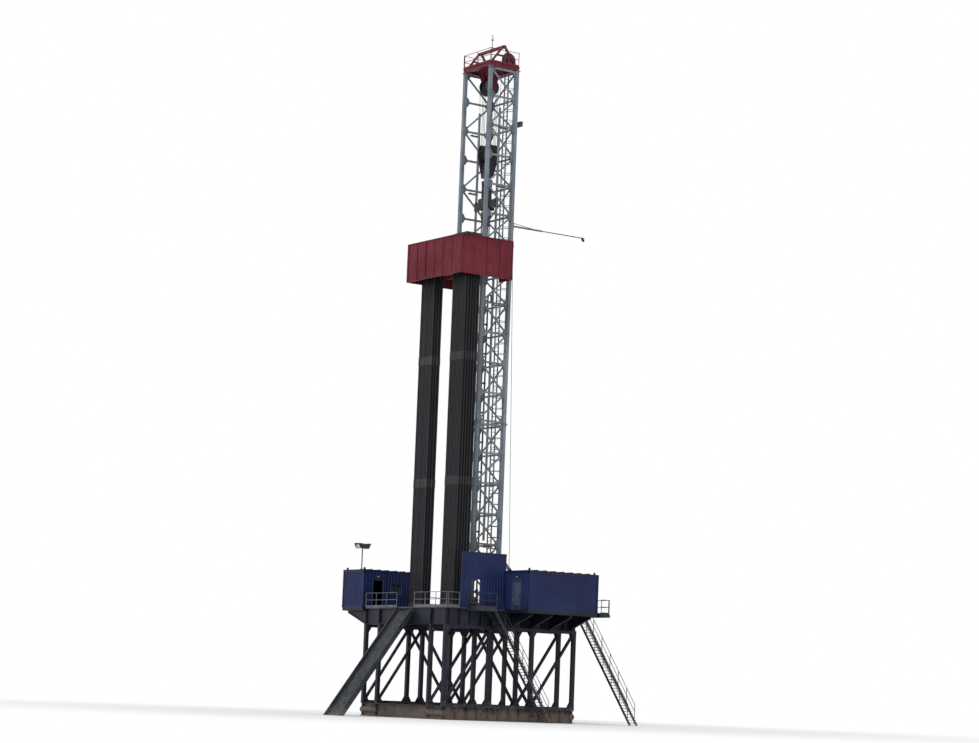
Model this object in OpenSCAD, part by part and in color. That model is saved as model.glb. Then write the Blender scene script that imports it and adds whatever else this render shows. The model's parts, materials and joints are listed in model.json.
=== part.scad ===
// Land drilling rig at half scale, mast up and drill pipe racked.
// Z is up from the ground, the origin is under the well centre, the V-door faces -X,
// and the doghouse is on the -Y side. Every size is the model's own, half the real one.

/* [Drill floor] */
// Height of the drill floor above the ground
floor_h = 4100; // [3900:10:4300]
// Length of the drill floor along X
floor_l = 6000; // [5900:10:6100]
// Width of the drill floor along Y
floor_w = 5500; // [5400:10:5600]
// Thickness of the floor panels
floor_t = 40; // [30:1:50]
// Gap between neighbouring floor panels
panel_gap = 4; // [2:0.5:8]
// Gap between the floor panels and the rotary table
rotary_gap = 25; // [15:1:35]

/* [Substructure] */
// Height of the base boxes on the ground
base_h = 500; // [450:10:550]
// Height of the floor boxes
floor_box_h = 610; // [560:10:660]
// Width of the boxes on each side
box_w = 1100; // [1050:10:1150]
// Flange width of the beams
flange_w = 160; // [140:2:180]
// Flange thickness of the beams
flange_t = 24; // [16:1:32]
// Web thickness of the beams
web_t = 14; // [8:1:20]
// Number of cross beams in a box
box_ties = 5; // [3:1:7]
// Radius of the pipe across each end of a base box
skid_r = 110; // [90:1:130]
// Width of the posts of the side frames
post_w = 140; // [120:2:150]
// Width of the diagonals of the side frames
frame_brace_w = 90; // [70:2:110]
// Number of bays in a side frame
frame_bays = 3; // [2:1:4]
// Height of the chords of the side frames
chord_h = 100; // [80:2:120]
// Thickness of the gusset plates of the side frames and the mast
gusset_t = 10; // [8:1:14]
// Width of a gusset plate at the end of a post
foot_gusset_w = 340; // [300:10:380]
// Height of a gusset plate at the end of a post
foot_gusset_h = 300; // [260:10:340]

/* [Rotary table] */
// Radius of the opening through the rotary table
rotary_bore_r = 238.125; // [200:0.125:260]
// Length of the rotary table along X
rotary_l = 1150; // [1050:10:1200]
// Width of the rotary table along Y
rotary_w = 950; // [900:10:1000]
// Height of the rotary table's housing
rotary_h = 340; // [300:5:360]
// Radius of the turning ring on top
rotary_ring_r = 430; // [400:5:450]
// Height of the turning ring above the housing
rotary_ring_h = 20; // [12:1:30]
// Width of the beams under the rotary table
rotary_beam_w = 130; // [110:2:150]

/* [V-door ramp and stairs] */
// Width of the V-door ramp
ramp_w = 1000; // [900:10:1100]
// Slope of the V-door ramp in degrees
ramp_angle = 53.5; // [52:0.5:55]
// Depth of the ramp's side beams
ramp_depth = 190; // [160:5:220]
// Slope of the stairs in degrees
stair_angle = 56; // [55:0.5:57]
// Width of a stair between its stringers
stair_w = 400; // [360:10:440]
// Depth of the stair stringers
stringer_d = 110; // [90:5:120]
// Thickness of the stair stringers
stringer_t = 14; // [10:1:20]
// Number of risers in a stair
risers = 38; // [34:1:42]
// Thickness of a tread
tread_t = 14; // [10:1:18]
// Height of the handrails
rail_h = 550; // [500:10:600]
// Radius of the handrail tubes
rail_r = 13; // [10:1:16]

/* [Houses] */
// Length of the doghouse along X
doghouse_l = 3200; // [3100:10:3300]
// Distance of the doghouse's rear end from the rear edge of the drill floor
doghouse_rear = 175; // [140:5:220]
// Length of the far house along X
far_house_l = 3000; // [2900:10:3100]
// How far the far house reaches past the front edge of the drill floor
far_house_lead = 100; // [50:5:150]
// Depth of a house across the rig
house_w = 1450; // [1400:10:1500]
// Height of a house above the drill floor
house_h = 1450; // [1400:10:1500]
// Thickness of a house wall
wall_t = 40; // [30:1:50]
// Thickness of a house roof
roof_t = 50; // [40:1:60]
// Overhang of a house roof
roof_lip = 20; // [0:1:40]
// Depth of a house floor's frame
house_floor_t = 120; // [100:5:140]
// Width of a joist in a house floor's frame
joist_w = 60; // [50:2:70]
// Number of knee brackets under a house
brackets = 4; // [3:1:5]
// Distance of the first and last knee bracket from a house's ends
bracket_inset = 250; // [200:10:300]
// Width of a knee bracket's flanges
bracket_w = 80; // [70:2:100]
// Width of a doorway
door_w = 450; // [420:5:480]
// Height of a doorway
door_h = 1050; // [1000:10:1100]
// Width of a window
window_w = 460; // [420:5:500]
// Height of a window
window_h = 380; // [340:5:420]
// Height of a window sill above the house floor
sill_h = 560; // [520:5:600]
// Thickness of the window glass
glass_t = 8; // [6:1:12]
// Thickness of a door leaf
door_t = 24; // [18:1:30]
// Height of the wind wall beside the doghouse
wind_wall_h = 2050; // [1950:10:2150]
// Distance of the wind wall's front end from the front edge of the drill floor
wind_wall_front = 650; // [600:5:700]
// Length of the porch behind the doghouse, along X
porch_l = 450; // [430:5:480]
// Width of the porch behind the doghouse, along Y
porch_w = 2600; // [2500:10:2700]
// Depth of the landing outside the wind wall
landing_w = 700; // [660:10:740]
// Length of the landing outside the wind wall
landing_l = 900; // [850:10:950]
// Distance of the landing from the wind wall's front end
landing_gap = 250; // [200:10:300]
// Distance of the wind wall's doorway from the landing's front end
landing_door_x = 150; // [120:5:200]

/* [Mast] */
// Width of the mast across the rig, centre to centre of its legs
mast_w = 1700; // [1660:5:1740]
// Depth of the mast along X, centre to centre of its legs
mast_d = 1250; // [1210:5:1290]
// Width of a mast leg
leg_w = 130; // [120:1:140]
// Height of one bay of the mast
bay_h = 1155; // [1130:1:1170]
// Number of bays in each of the mast's three sections
section_bays = 6; // [5:1:6]
// Height of the mast shoes
shoe_h = 200; // [170:5:230]
// Width of a splice plate at a leg's end
splice_w = 165; // [150:1:180]
// Thickness of a splice plate
splice_t = 30; // [20:1:40]
// Width of a girt between the legs
girt_w = 70; // [60:1:80]
// Thickness of a girt
girt_t = 70; // [60:1:80]
// Width of a diagonal of the mast
diagonal_w = 56; // [46:1:58]
// Reach of a mast gusset plate from its leg
mast_gusset_l = 150; // [120:5:180]
// Reach of a mast gusset plate above and below its girt's middle
mast_gusset_h = 190; // [150:5:220]
// Height above the floor where a back brace meets its leg
back_brace_h = 2000; // [1900:10:2100]
// Width of a back brace
back_brace_w = 110; // [90:1:125]
// Width of the ladder, between the middles of its rails
ladder_w = 240; // [210:5:260]
// Spacing of the ladder's rungs
rung_gap = 150; // [130:5:170]

/* [Racking board] */
// Length of the racking board ahead of the well centre
board_l = 2300; // [2260:10:2340]
// Width of the racking board
board_w = 3580; // [3500:10:3660]
// Height of the board's beams
board_beam_h = 120; // [100:2:140]
// Width of the board's beams
board_beam_w = 80; // [70:2:90]
// Width of a slot between two fingers
slot_w = 92; // [88:1:96]
// Width of a finger
finger_w = 30; // [26:1:34]
// Height of a finger
finger_h = 60; // [50:2:80]
// Number of slots on each side
slots = 11; // [9:1:11]
// Half width of the clear aisle between the finger tips
aisle = 650; // [620:5:670]
// Width of the diving board
diving_board_w = 420; // [380:10:460]
// Height of the wind walls round the board
board_wall_h = 1500; // [1400:10:1600]
// How far the wind walls reach below the board
board_wall_drop = 415; // [380:5:450]
// Thickness of a wind wall's sheet
sheet_t = 10; // [6:1:14]
// Depth of a wind wall's ribs
rib_d = 30; // [20:1:40]

/* [Drill pipe] */
// Radius of the drill pipe
pipe_r = 31.75; // [28:0.25:36]
// Radius of a tool joint
tool_joint_r = 42; // [38:0.5:43]
// Length of one joint of pipe
joint_l = 4720; // [4600:10:4800]
// Length of a tool joint's half
tool_joint_l = 150; // [120:5:180]
// Spacing of the stands along a slot
stand_gap = 90; // [88:1:94]
// Number of stands in a row
row_stands = 10; // [8:1:10]
// First filled slot on the near side, counted from the front
near_first = 2; // [1:1:3]
// Number of filled slots on the near side
near_rows = 6; // [4:1:6]
// First filled slot on the far side, counted from the front
far_first = 3; // [2:1:4]
// Number of filled slots on the far side
far_rows = 4; // [3:1:5]
// Thickness of the setback mats
mat_t = 40; // [30:1:50]

/* [Crown and hoist] */
// Radius of a sheave to the middle of its line
sheave_r = 300; // [290:1:310]
// Radius of the drilling line
line_r = 9; // [7:0.5:10]
// Height of a sheave's rim above its groove
rim_h = 22; // [18:1:26]
// Thickness of a sheave's rim
rim_t = 44; // [40:1:50]
// Thickness of a rim's edge beside its groove
rim_edge = 4; // [3:0.5:5]
// Spacing of the sheaves
sheave_gap = 90; // [84:1:96]
// Radius of a sheave shaft
shaft_r = 55; // [45:1:65]
// Running clearance of a sheave on its shaft
running = 0.4; // [0.3:0.1:0.6]
// Distance of the dead-line and fast-line sheaves from the centre
lead_y = 300; // [290:1:320]
// Height of the crown's beams
crown_beam_h = 140; // [120:2:160]
// Depth of the crown sheaves' shaft under the top of the mast
crown_drop = 600; // [560:5:640]
// Overhang of the crown platform past the mast's legs
crown_lip = 25; // [10:1:60]
// Height of the lifting frame over the crown
gin_h = 760; // [700:10:820]
// Height of the rod on top of the lifting frame
rod_h = 560; // [400:10:600]
// Height of the travelling block
block_h = 1300; // [1250:10:1350]
// Height of the block's shaft above the drill floor
block_z = 17700; // [17500:10:17900]
// Thickness of the block's side plates
cheek_t = 40; // [30:1:50]
// Distance of the top drive's gear case under the block
hanger_h = 850; // [800:10:900]
// Height of the top drive's gear case
gear_h = 420; // [380:10:460]
// Length of the stem under the gear case
stem_h = 380; // [350:5:410]
// Distance of a guide rail's centre from the mast's centre
guide_y = 680; // [660:5:700]
// Width of a guide rail
guide_w = 60; // [50:1:70]
// Depth of a guide rail across the mast
guide_d = 80; // [70:2:90]
// Height of the guide rails' feet above the drill floor
guide_foot_h = 2650; // [2500:10:2800]
// How far the guide rails reach above the block's shaft
guide_over = 1750; // [1700:10:1800]
// Gap between a guide shoe and its rail
guide_gap = 8; // [6:0.5:12]
// Length of the elevator links
link_l = 1600; // [1500:10:1700]
// Distance of a link's middle from the well centre
link_y = 262; // [255:1:270]
// Radius of the dead-line anchor's wheel
anchor_r = 140; // [120:5:160]
// Height of the anchor's wheel above the drill floor
anchor_h = 420; // [380:10:460]
// Distance of the anchor ahead of the mast's rear legs
anchor_lead = 150; // [120:5:180]
// Distance of the dead line's foot in from the mast's leg
anchor_in = 290; // [260:5:320]

/* [Drawworks] */
// Distance of the drum from the well centre
drum_x = 1850; // [1800:10:1900]
// Radius of the drum
drum_r = 280; // [250:5:300]
// Radius of the drum's flanges
drum_flange_r = 430; // [400:5:450]
// Width of the drum between its flanges
drum_w = 800; // [760:10:840]
// Half width of the drawworks
drawworks_half = 700; // [680:5:720]
// Height of the drawworks' skid
drawworks_skid_h = 150; // [130:5:170]
// Distance of the drawworks' rear from the edge of the drill floor
drawworks_rear = 150; // [120:5:180]
// Height of the drawworks' rear face above its skid
hood_back_h = 560; // [520:10:600]
// Distance of the motors' shafts from the well centre
motor_x = 1650; // [1620:5:1700]
// Radius of a motor
motor_r = 170; // [150:5:190]
// Length of a motor
motor_l = 560; // [500:10:620]

/* [Boom and lamps] */
// Height of the boom above the drill floor
boom_z = 14850; // [14600:10:15100]
// Length of the boom
boom_l = 3500; // [3300:10:3700]
// Radius of the boom's inner half
boom_r = 34; // [28:1:40]
// Height of the lamp pole above the far house
lamp_pole_h = 900; // [800:10:1000]
// Distance of the lamp pole from the drill floor's edge
lamp_pole_y = 350; // [300:10:400]
// Width of a lamp's housing
lamp_w = 300; // [240:10:360]
// Height of the mast lamp above the drill floor
mast_lamp_h = 18900; // [18000:50:19500]

/* [Hidden] */

$fn = 48;
seat = 0.3;
end_lap = 1;
sides = [-1, 1];

navy = [0.07, 0.10, 0.22];
blue = [0.06, 0.13, 0.36];
maroon = [0.35, 0.09, 0.12];
light_grey = [0.70, 0.73, 0.76];
steel = [0.42, 0.45, 0.48];
dark_steel = [0.10, 0.11, 0.14];
timber = [0.36, 0.28, 0.20];

// Side boxes and frames
side_y = floor_w / 2 - box_w / 2;
beam_y = box_w / 2 - flange_w / 2;
inner_y = floor_w / 2 - box_w;
frame_h = floor_h - floor_t - floor_box_h - base_h;
floor_box_z = base_h + frame_h;
cross_x = [-floor_l / 2 + flange_w / 2, -floor_l / 4, floor_l / 4, floor_l / 2 - flange_w / 2];
rotary_cross_x = rotary_l / 2 + 2 * rotary_gap + flange_w;
rotary_z = floor_h - rotary_h;
pit_x = rotary_l / 2 + rotary_gap;
pit_y = rotary_w / 2 + rotary_gap;

// Houses, wind wall, landing and porch
doghouse_x0 = floor_l / 2 - doghouse_rear - doghouse_l;
far_house_x0 = -floor_l / 2 - far_house_lead;
wind_wall_x0 = -floor_l / 2 + wind_wall_front;
wall_h = house_h - roof_t;
door_x = 420;
window_xs = [1250, 2250];
opening_cut = 20;
landing_x0 = wind_wall_x0 + landing_gap;
landing_x1 = landing_x0 + landing_l;
porch_y0 = -floor_w / 2 - house_w;
porch_y1 = porch_y0 + porch_w;
rear_stair_y = -floor_w / 2 + landing_w / 2;
near_stair_y = -floor_w / 2 - landing_w / 2;

// Mast levels and lines
mast_z = floor_h + shoe_h;
section_h = section_bays * bay_h;
mast_top = mast_z + 3 * section_h;
leg_x = mast_d / 2;
leg_y = mast_w / 2;
leg_out_x = leg_x + leg_w / 2;
leg_out_y = leg_y + leg_w / 2;
leg_in_y = leg_y - leg_w / 2;
strip_w = girt_w * 5 / 7;
node_inset = splice_t + girt_w / 2;
gusset_lip = girt_w / 2 + gusset_t;

// Racking board
board_girt = 5;
board_mid = mast_z + section_h + board_girt * bay_h;
board_z = board_mid + board_beam_h / 2;
board_y = board_w / 2;
slot_pitch = slot_w + finger_w;
first_finger = -board_l + board_beam_w + finger_w;
side_beam_in = board_y - board_beam_w;
board_rear = board_beam_w * 3 / 4;
wall_z = board_z - board_wall_drop;

// Racked pipe
stand_l = 3 * joint_l;
stand_z = floor_h + mat_t;
first_stand = aisle + slot_w;
function slot_x(i) = first_finger + (i + 0.5) * slot_pitch;

// Crown, block and lines
line_x = sheave_r;
groove_r = sheave_r - line_r - seat;
rim_r = sheave_r + rim_h;
crown_z = mast_top - crown_drop;
deck_z = mast_top + crown_beam_h;
deck_t = 15;
fast_z = deck_z + deck_t + rim_r + 2 * deck_t;
fast_x = line_x + sheave_r;
block_axis_z = floor_h + block_z;
block_top = block_axis_z + rim_r + cheek_t;
block_bottom = block_top - block_h;
block_cheek_y = 2 * sheave_gap + seat;
gear_top = block_bottom - hanger_h;
gear_z = gear_top - gear_h;
link_top = gear_z - stem_h;
guide_in = guide_y - guide_d / 2;
shoe_face = guide_in - guide_gap;
drum_z = floor_h + drawworks_skid_h + drum_flange_r + 2 * deck_t;
anchor = [leg_x - anchor_lead, leg_y - anchor_in, floor_h + anchor_h];
bearing_l = 90;
lead_cheek_y = 55;
crown_cheek_t = 30;
block_ys = [for (i = [0:3]) (i - 1.5) * sheave_gap];
cluster_ys = [-sheave_gap, 0, sheave_gap];

// Section of an I-beam standing on its lower flange
function i_points(w, h, ft, wt) = [
    [-w / 2, 0], [w / 2, 0], [w / 2, ft], [wt / 2, ft], [wt / 2, h - ft], [w / 2, h - ft],
    [w / 2, h], [-w / 2, h], [-w / 2, h - ft], [-wt / 2, h - ft], [-wt / 2, ft], [-w / 2, ft]
];

module beam_along_x(l, w, h) {
    rotate([90, 0, 90]) linear_extrude(l, center = true)
        polygon(i_points(w, h, flange_t, web_t));
}

module beam_along_y(l, w, h) {
    rotate([90, 0, 0]) linear_extrude(l, center = true)
        polygon(i_points(w, h, flange_t, web_t));
}

// Outline of a rectangle of half sizes l and w with its corners cut by c
function cut_corners(l, w, c) = [
    [-l + c, -w], [l - c, -w], [l, -w + c], [l, w - c],
    [l - c, w], [-l + c, w], [-l, w - c], [-l, -w + c]
];

// Block between two corners
module block(low, high) {
    translate(low) cube(high - low);
}

// Flat bar between two points, w wide in the plane of Z and the bar, t thick across it
module bar(p, q, w, t) {
    d = q - p;
    l = norm(d);
    translate(p) rotate([0, acos(d.z / l), atan2(d.y, d.x)])
        translate([-w / 2, -t / 2, 0]) cube([w, t, l]);
}

// Round rod between two points
module rod(p, q, r) {
    d = q - p;
    l = norm(d);
    translate(p) rotate([0, acos(d.z / l), atan2(d.y, d.x)]) cylinder(h = l, r = r);
}

// Plate cut from an outline in X and Z, t thick, centred on the given Y
module plate_xz(y, t, points) {
    translate([0, y, 0]) rotate([90, 0, 0]) linear_extrude(t, center = true) polygon(points);
}

// Plate cut from an outline in Y and Z, t thick, centred on the given X
module plate_yz(x, t, points) {
    translate([x, 0, 0]) rotate([90, 0, 90]) linear_extrude(t, center = true) polygon(points);
}

// Children as they are on the far side, or mirrored to the near side
module on_side(s) {
    if (s < 0) mirror([0, 1, 0]) children();
    else children();
}

// Box of two long beams with cross beams between them, standing on Z = 0
module skid_box(l, h, pipe_ends) {
    for (s = sides) translate([0, s * beam_y, 0]) beam_along_x(l, flange_w, h);
    step = (l - flange_w) / (box_ties - 1);
    for (i = [0:box_ties - 1])
        translate([-(l - flange_w) / 2 + i * step, 0, 0]) beam_along_y(2 * beam_y, flange_w, h);
    if (pipe_ends)
        for (s = sides) translate([s * (l / 2 - flange_w / 2), 0, h / 2])
            rotate([90, 0, 0]) cylinder(h = box_w, r = skid_r, center = true);
}

module base_boxes() {
    color(navy) for (s = sides) translate([0, s * side_y, 0]) skid_box(floor_l, base_h, true);
}

module base_spreaders() {
    color(navy) for (x = cross_x)
        translate([x, 0, 0]) beam_along_y(2 * inner_y, flange_w, base_h);
}

// Outline of a gusset on a post's foot, reaching left and right of its middle
function foot_points(left, right) = [
    [-left, 0], [right, 0], [right, foot_gusset_h * 0.4],
    [post_w / 2 - gusset_t, foot_gusset_h], [gusset_t - post_w / 2, foot_gusset_h],
    [-left, foot_gusset_h * 0.4]
];

module foot_gussets(left, right) {
    for (f = sides) plate_xz(f * (post_w / 2 + gusset_t / 2 - end_lap), gusset_t,
                             foot_points(left, right));
}

// One upright frame in X and Z between the base box and the floor box
module side_truss(y) {
    half = floor_l / 2 - post_w / 2;
    step = 2 * half / frame_bays;
    low = chord_h / 2;
    high = frame_h - chord_h / 2;
    translate([0, y, base_h]) {
        for (z = [low, high])
            bar([-half, 0, z], [half, 0, z], chord_h, post_w);
        for (i = [0:frame_bays]) translate([-half + i * step, 0, 0]) {
            left = i == 0 ? post_w / 2 : foot_gusset_w / 2;
            right = i == frame_bays ? post_w / 2 : foot_gusset_w / 2;
            block([-post_w / 2, -post_w / 2, 0], [post_w / 2, post_w / 2, frame_h]);
            foot_gussets(left, right);
            translate([0, 0, frame_h]) mirror([0, 0, 1]) foot_gussets(left, right);
        }
        for (i = [0:frame_bays - 1]) {
            x = -half + i * step;
            up = i % 2 == 0;
            bar([x, 0, up ? low : high], [x + step, 0, up ? high : low],
                frame_brace_w, frame_brace_w);
        }
    }
}

module near_side_frame() {
    color(navy) for (s = sides) side_truss(-side_y + s * beam_y);
}

module far_side_frame() {
    color(navy) for (s = sides) side_truss(side_y + s * beam_y);
}

module floor_boxes() {
    color(navy) for (s = sides)
        translate([0, s * side_y, floor_box_z]) skid_box(floor_l, floor_box_h, false);
}

module floor_beams() {
    color(navy) {
        for (x = concat(cross_x, [-rotary_cross_x, rotary_cross_x]))
            translate([x, 0, floor_box_z]) beam_along_y(2 * inner_y, flange_w, floor_box_h);
        beam_l = 2 * rotary_cross_x - flange_w - 2 * seat;
        beam_y = rotary_w / 2 - rotary_beam_w / 2;
        for (s = sides)
            translate([0, s * beam_y, floor_box_z])
                beam_along_x(beam_l, rotary_beam_w, rotary_z - floor_box_z);
    }
}

module floor_panel(low, high) {
    block([low[0], low[1], floor_h - floor_t], [high[0], high[1], floor_h]);
}

module drill_floor() {
    half_l = floor_l / 2;
    half_w = floor_w / 2;
    g = panel_gap / 2;
    color(dark_steel) {
        for (s = sides) for (t = sides) {
            x = [s * (pit_x + g), s * half_l];
            y = [t * g, t * half_w];
            floor_panel([min(x), min(y)], [max(x), max(y)]);
        }
        for (t = sides) {
            y = [t * pit_y, t * half_w];
            floor_panel([-pit_x + g, min(y)], [pit_x - g, max(y)]);
        }
    }
}

module setback_mats() {
    l = near_rows * slot_pitch + 2 * slot_pitch;
    w = (row_stands + 2) * stand_gap;
    x = (slot_x(near_first) + slot_x(near_first + near_rows - 1)) / 2;
    y = first_stand + (row_stands - 1) * stand_gap / 2;
    color(timber) for (s = sides)
        translate([x - l / 2, s * y - w / 2, floor_h]) cube([l, w, mat_t]);
}

module rotary_table() {
    corner = 120;
    input_z = rotary_h * 0.55;
    input_r = 60;
    color(steel) translate([0, 0, rotary_z]) difference() {
        union() {
            linear_extrude(rotary_h) polygon(cut_corners(rotary_l / 2, rotary_w / 2, corner));
            translate([0, 0, rotary_h - end_lap])
                cylinder(h = rotary_ring_h + end_lap, r = rotary_ring_r);
            translate([rotary_l / 2 - corner, 0, input_z]) rotate([0, 90, 0])
                cylinder(h = corner + rotary_gap, r = input_r);
        }
        translate([0, 0, -end_lap])
            cylinder(h = rotary_h + rotary_ring_h + 2 * end_lap, r = rotary_bore_r);
    }
}

// The ramp's side beams and plates, cut by the floor's edge and by the ground
module v_door_ramp() {
    slope_l = floor_h / sin(ramp_angle) + 2 * ramp_depth;
    lip = 60;
    plate_t = 16;
    color(steel) intersection() {
        translate([-floor_l / 2, 0, floor_h]) rotate([0, -ramp_angle, 0]) {
            for (s = sides) block([-slope_l, s * ramp_w / 2 - lip / 2, -ramp_depth],
                                  [ramp_depth, s * ramp_w / 2 + lip / 2, 0]);
            block([-slope_l, -ramp_w / 2, -ramp_depth / 2 - plate_t],
                  [ramp_depth, ramp_w / 2, -ramp_depth / 2]);
            for (i = [1:9]) block([-i * slope_l / 10, -ramp_w / 2, -ramp_depth],
                                  [-i * slope_l / 10 + lip, ramp_w / 2, -ramp_depth / 2]);
        }
        block([-2 * floor_l, -ramp_w, 0], [-floor_l / 2, ramp_w, floor_h]);
    }
}

// Straight railing along X, with posts, two rails and a toe board, standing on Z = 0
module railing(l) {
    bays = max(1, round(l / 800));
    toe_h = 75;
    for (i = [0:bays]) translate([-l / 2 + rail_r + i * (l - 2 * rail_r) / bays, 0, 0])
        cylinder(h = rail_h, r = rail_r);
    for (z = [rail_h - rail_r, rail_h / 2]) translate([-l / 2, 0, z])
        rotate([0, 90, 0]) cylinder(h = l, r = rail_r * 0.9);
    block([-l / 2, -4, 0], [l / 2, 4, toe_h]);
}

module railing_x(x0, x1, y) {
    translate([(x0 + x1) / 2, y, floor_h]) railing(x1 - x0);
}

module railing_y(x, y0, y1) {
    translate([x, (y0 + y1) / 2, floor_h]) rotate([0, 0, 90]) railing(y1 - y0);
}

module floor_railings() {
    edge_x = floor_l / 2 - 2 * rail_r;
    edge_y = floor_w / 2 - 2 * rail_r;
    ramp_edge = ramp_w / 2 + 80;
    clear = 4 * rail_r;
    color(light_grey) {
        railing_y(-edge_x, ramp_edge, edge_y);
        railing_y(-edge_x, -edge_y, -ramp_edge);
        railing_y(edge_x, -edge_y + clear + landing_w, edge_y);
        railing_x(-edge_x + clear, wind_wall_x0 - clear, -edge_y);
        railing_x(far_house_x0 + far_house_l + clear, edge_x - clear, edge_y);
    }
}

// Walkway plate at floor level on a frame of flat bars
module deck(x0, x1, y0, y1) {
    frame_d = 110;
    low = floor_h - frame_d;
    high = floor_h - end_lap;
    block([x0, y0, floor_h - floor_t / 2], [x1, y1, floor_h]);
    for (y = [y0, y1 - floor_t]) block([x0, y, low], [x1, y + floor_t, high]);
    for (x = [x0, x1 - floor_t]) block([x, y0, low], [x + floor_t, y1, high]);
}

module stair_landings() {
    x0 = floor_l / 2;
    x1 = x0 + porch_l;
    side = -floor_w / 2 - landing_w;
    in = 2 * rail_r;
    gate = stair_w / 2 + stringer_t + 2 * in;
    color(steel) {
        deck(landing_x0, landing_x1, side, -floor_w / 2);
        deck(x0, x1, porch_y0, porch_y1);
        translate([0, 0, seat]) {
            railing_x(landing_x0, landing_x1, side + in);
            railing_y(landing_x0 + in, side + 2 * in, -floor_w / 2 - in);
            railing_y(x1 - in, porch_y0 + in, rear_stair_y - gate);
            railing_y(x1 - in, rear_stair_y + gate, porch_y1 - in);
            railing_x(x0 + in, x1 - 2 * in, porch_y0 + in);
            railing_x(x0 + in, x1 - 2 * in, porch_y1 - in);
        }
    }
}

// Flight down from floor level along +X, its top edge at the origin
module stair_flight() {
    run = floor_h / tan(stair_angle);
    rise = floor_h / risers;
    going = run / risers;
    drop = stringer_d / cos(stair_angle);
    tread_w = stair_w - 2 * seat;
    rail_top = rail_h;
    color(steel) {
        for (s = sides) {
            y = s * (stair_w / 2 + rail_r + seat);
            plate_xz(s * (stair_w / 2 + stringer_t / 2), stringer_t, [
                [0, 0], [run, -floor_h], [run - stringer_d, -floor_h],
                [0, -floor_h + (run - stringer_d) * tan(stair_angle)]
            ]);
            posts = 6;
            for (i = [0:posts]) {
                x = rail_r + stringer_d / 4 + i * (run - 2 * stringer_d) / posts;
                z = -x * tan(stair_angle);
                translate([x, y, z - rise / 2]) cylinder(h = rail_top + rise / 2, r = rail_r);
            }
            x0 = rail_r + stringer_d / 4;
            x1 = x0 + run - 2 * stringer_d;
            for (h = [rail_top - rail_r, rail_top / 2])
                rod([x0, y, h - x0 * tan(stair_angle)], [x1, y, h - x1 * tan(stair_angle)],
                    rail_r * 0.9);
        }
        for (i = [1:risers - 1])
            block([(i - 1) * going + seat, -tread_w / 2, -i * rise - tread_t],
                  [(i - 1) * going + going * 1.9, tread_w / 2, -i * rise]);
    }
}

module near_stair() {
    translate([landing_x1, near_stair_y, floor_h]) stair_flight();
}

module rear_stair() {
    translate([floor_l / 2 + porch_l, rear_stair_y, floor_h]) stair_flight();
}

// Knee bracket reaching out along +Y from Y = 0, its top at Z = 0: a web with flanges all round
module knee_bracket() {
    reach = house_w - joist_w;
    depth = floor_box_h - house_floor_t + floor_t - 10;
    tip_h = 70;
    root = 120;
    plate_yz(0, web_t, [[0, 0], [reach, 0], [reach, -tip_h], [root, -depth], [0, -depth]]);
    plate_yz(0, bracket_w, [
        [0, -depth], [root, -depth], [reach, -tip_h],
        [reach, flange_t - tip_h], [root, flange_t - depth], [0, flange_t - depth]
    ]);
    block([-bracket_w / 2, 0, -flange_t], [bracket_w / 2, reach, 0]);
    block([-bracket_w / 2, 0, -depth], [bracket_w / 2, flange_t, 0]);
}

function bracket_x(l, i) = bracket_inset + i * (l - 2 * bracket_inset) / (brackets - 1);

module house_brackets() {
    color(navy) for (s = sides) {
        x0 = s < 0 ? doghouse_x0 : far_house_x0;
        l = s < 0 ? doghouse_l : far_house_l;
        for (i = [0:brackets - 1]) on_side(s)
            translate([x0 + bracket_x(l, i), floor_w / 2, floor_h - house_floor_t])
                knee_bracket();
    }
}

// House floor from X = 0 to l, reaching out along +Y, its plate's top at Z = 0
module house_floor(l) {
    high = house_floor_t - end_lap;
    block([0, 0, -floor_t / 2], [l, house_w, 0]);
    translate([0, 0, -house_floor_t]) {
        for (y = [0, house_w - joist_w]) translate([0, y, 0]) cube([l, joist_w, high]);
        for (x = [0, l - joist_w]) translate([x, 0, 0]) cube([joist_w, house_w, high]);
        for (i = [0:2 * (brackets - 1)])
            translate([bracket_x(l, i / 2) - joist_w / 2, 0, 0]) cube([joist_w, house_w, high]);
    }
}

module house_floors() {
    color(navy) {
        mirror([0, 1, 0]) translate([doghouse_x0, floor_w / 2, floor_h]) house_floor(doghouse_l);
        translate([far_house_x0, floor_w / 2, floor_h]) house_floor(far_house_l);
    }
}

// Long house wall from X = 0 to l, between Y = 0 and wall_t, with openings or plain
module side_wall(l, cut) {
    difference() {
        block([0, 0, 0], [l, wall_t, wall_h]);
        if (cut) {
            block([door_x, -opening_cut, -opening_cut], [door_x + door_w, wall_t + opening_cut, door_h]);
            for (x = window_xs) block([x, -opening_cut, sill_h],
                                      [x + window_w, wall_t + opening_cut, sill_h + window_h]);
        }
    }
}

// End house wall between the long walls, with a doorway, its inner corner at the origin
module end_wall(cut) {
    w = house_w - 2 * wall_t;
    difference() {
        block([0, 0, 0], [wall_t, w, wall_h]);
        if (cut) {
            y = (w - door_w) / 2;
            block([-opening_cut, y, -opening_cut], [wall_t + opening_cut, y + door_w, door_h]);
        }
    }
}

module doghouse_side_walls() {
    color(blue) translate([doghouse_x0, -floor_w / 2, floor_h]) {
        translate([0, -wall_t, 0]) side_wall(doghouse_l, true);
        translate([0, -house_w, 0]) side_wall(doghouse_l, false);
    }
}

module doghouse_end_walls() {
    color(blue) translate([doghouse_x0, -floor_w / 2 - house_w + wall_t, floor_h]) {
        end_wall(true);
        translate([doghouse_l - wall_t, 0, 0]) end_wall(true);
    }
}

module far_house_side_walls() {
    color(blue) translate([far_house_x0, floor_w / 2, floor_h]) {
        side_wall(far_house_l, true);
        translate([0, house_w - wall_t, 0]) side_wall(far_house_l, false);
    }
}

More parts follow.
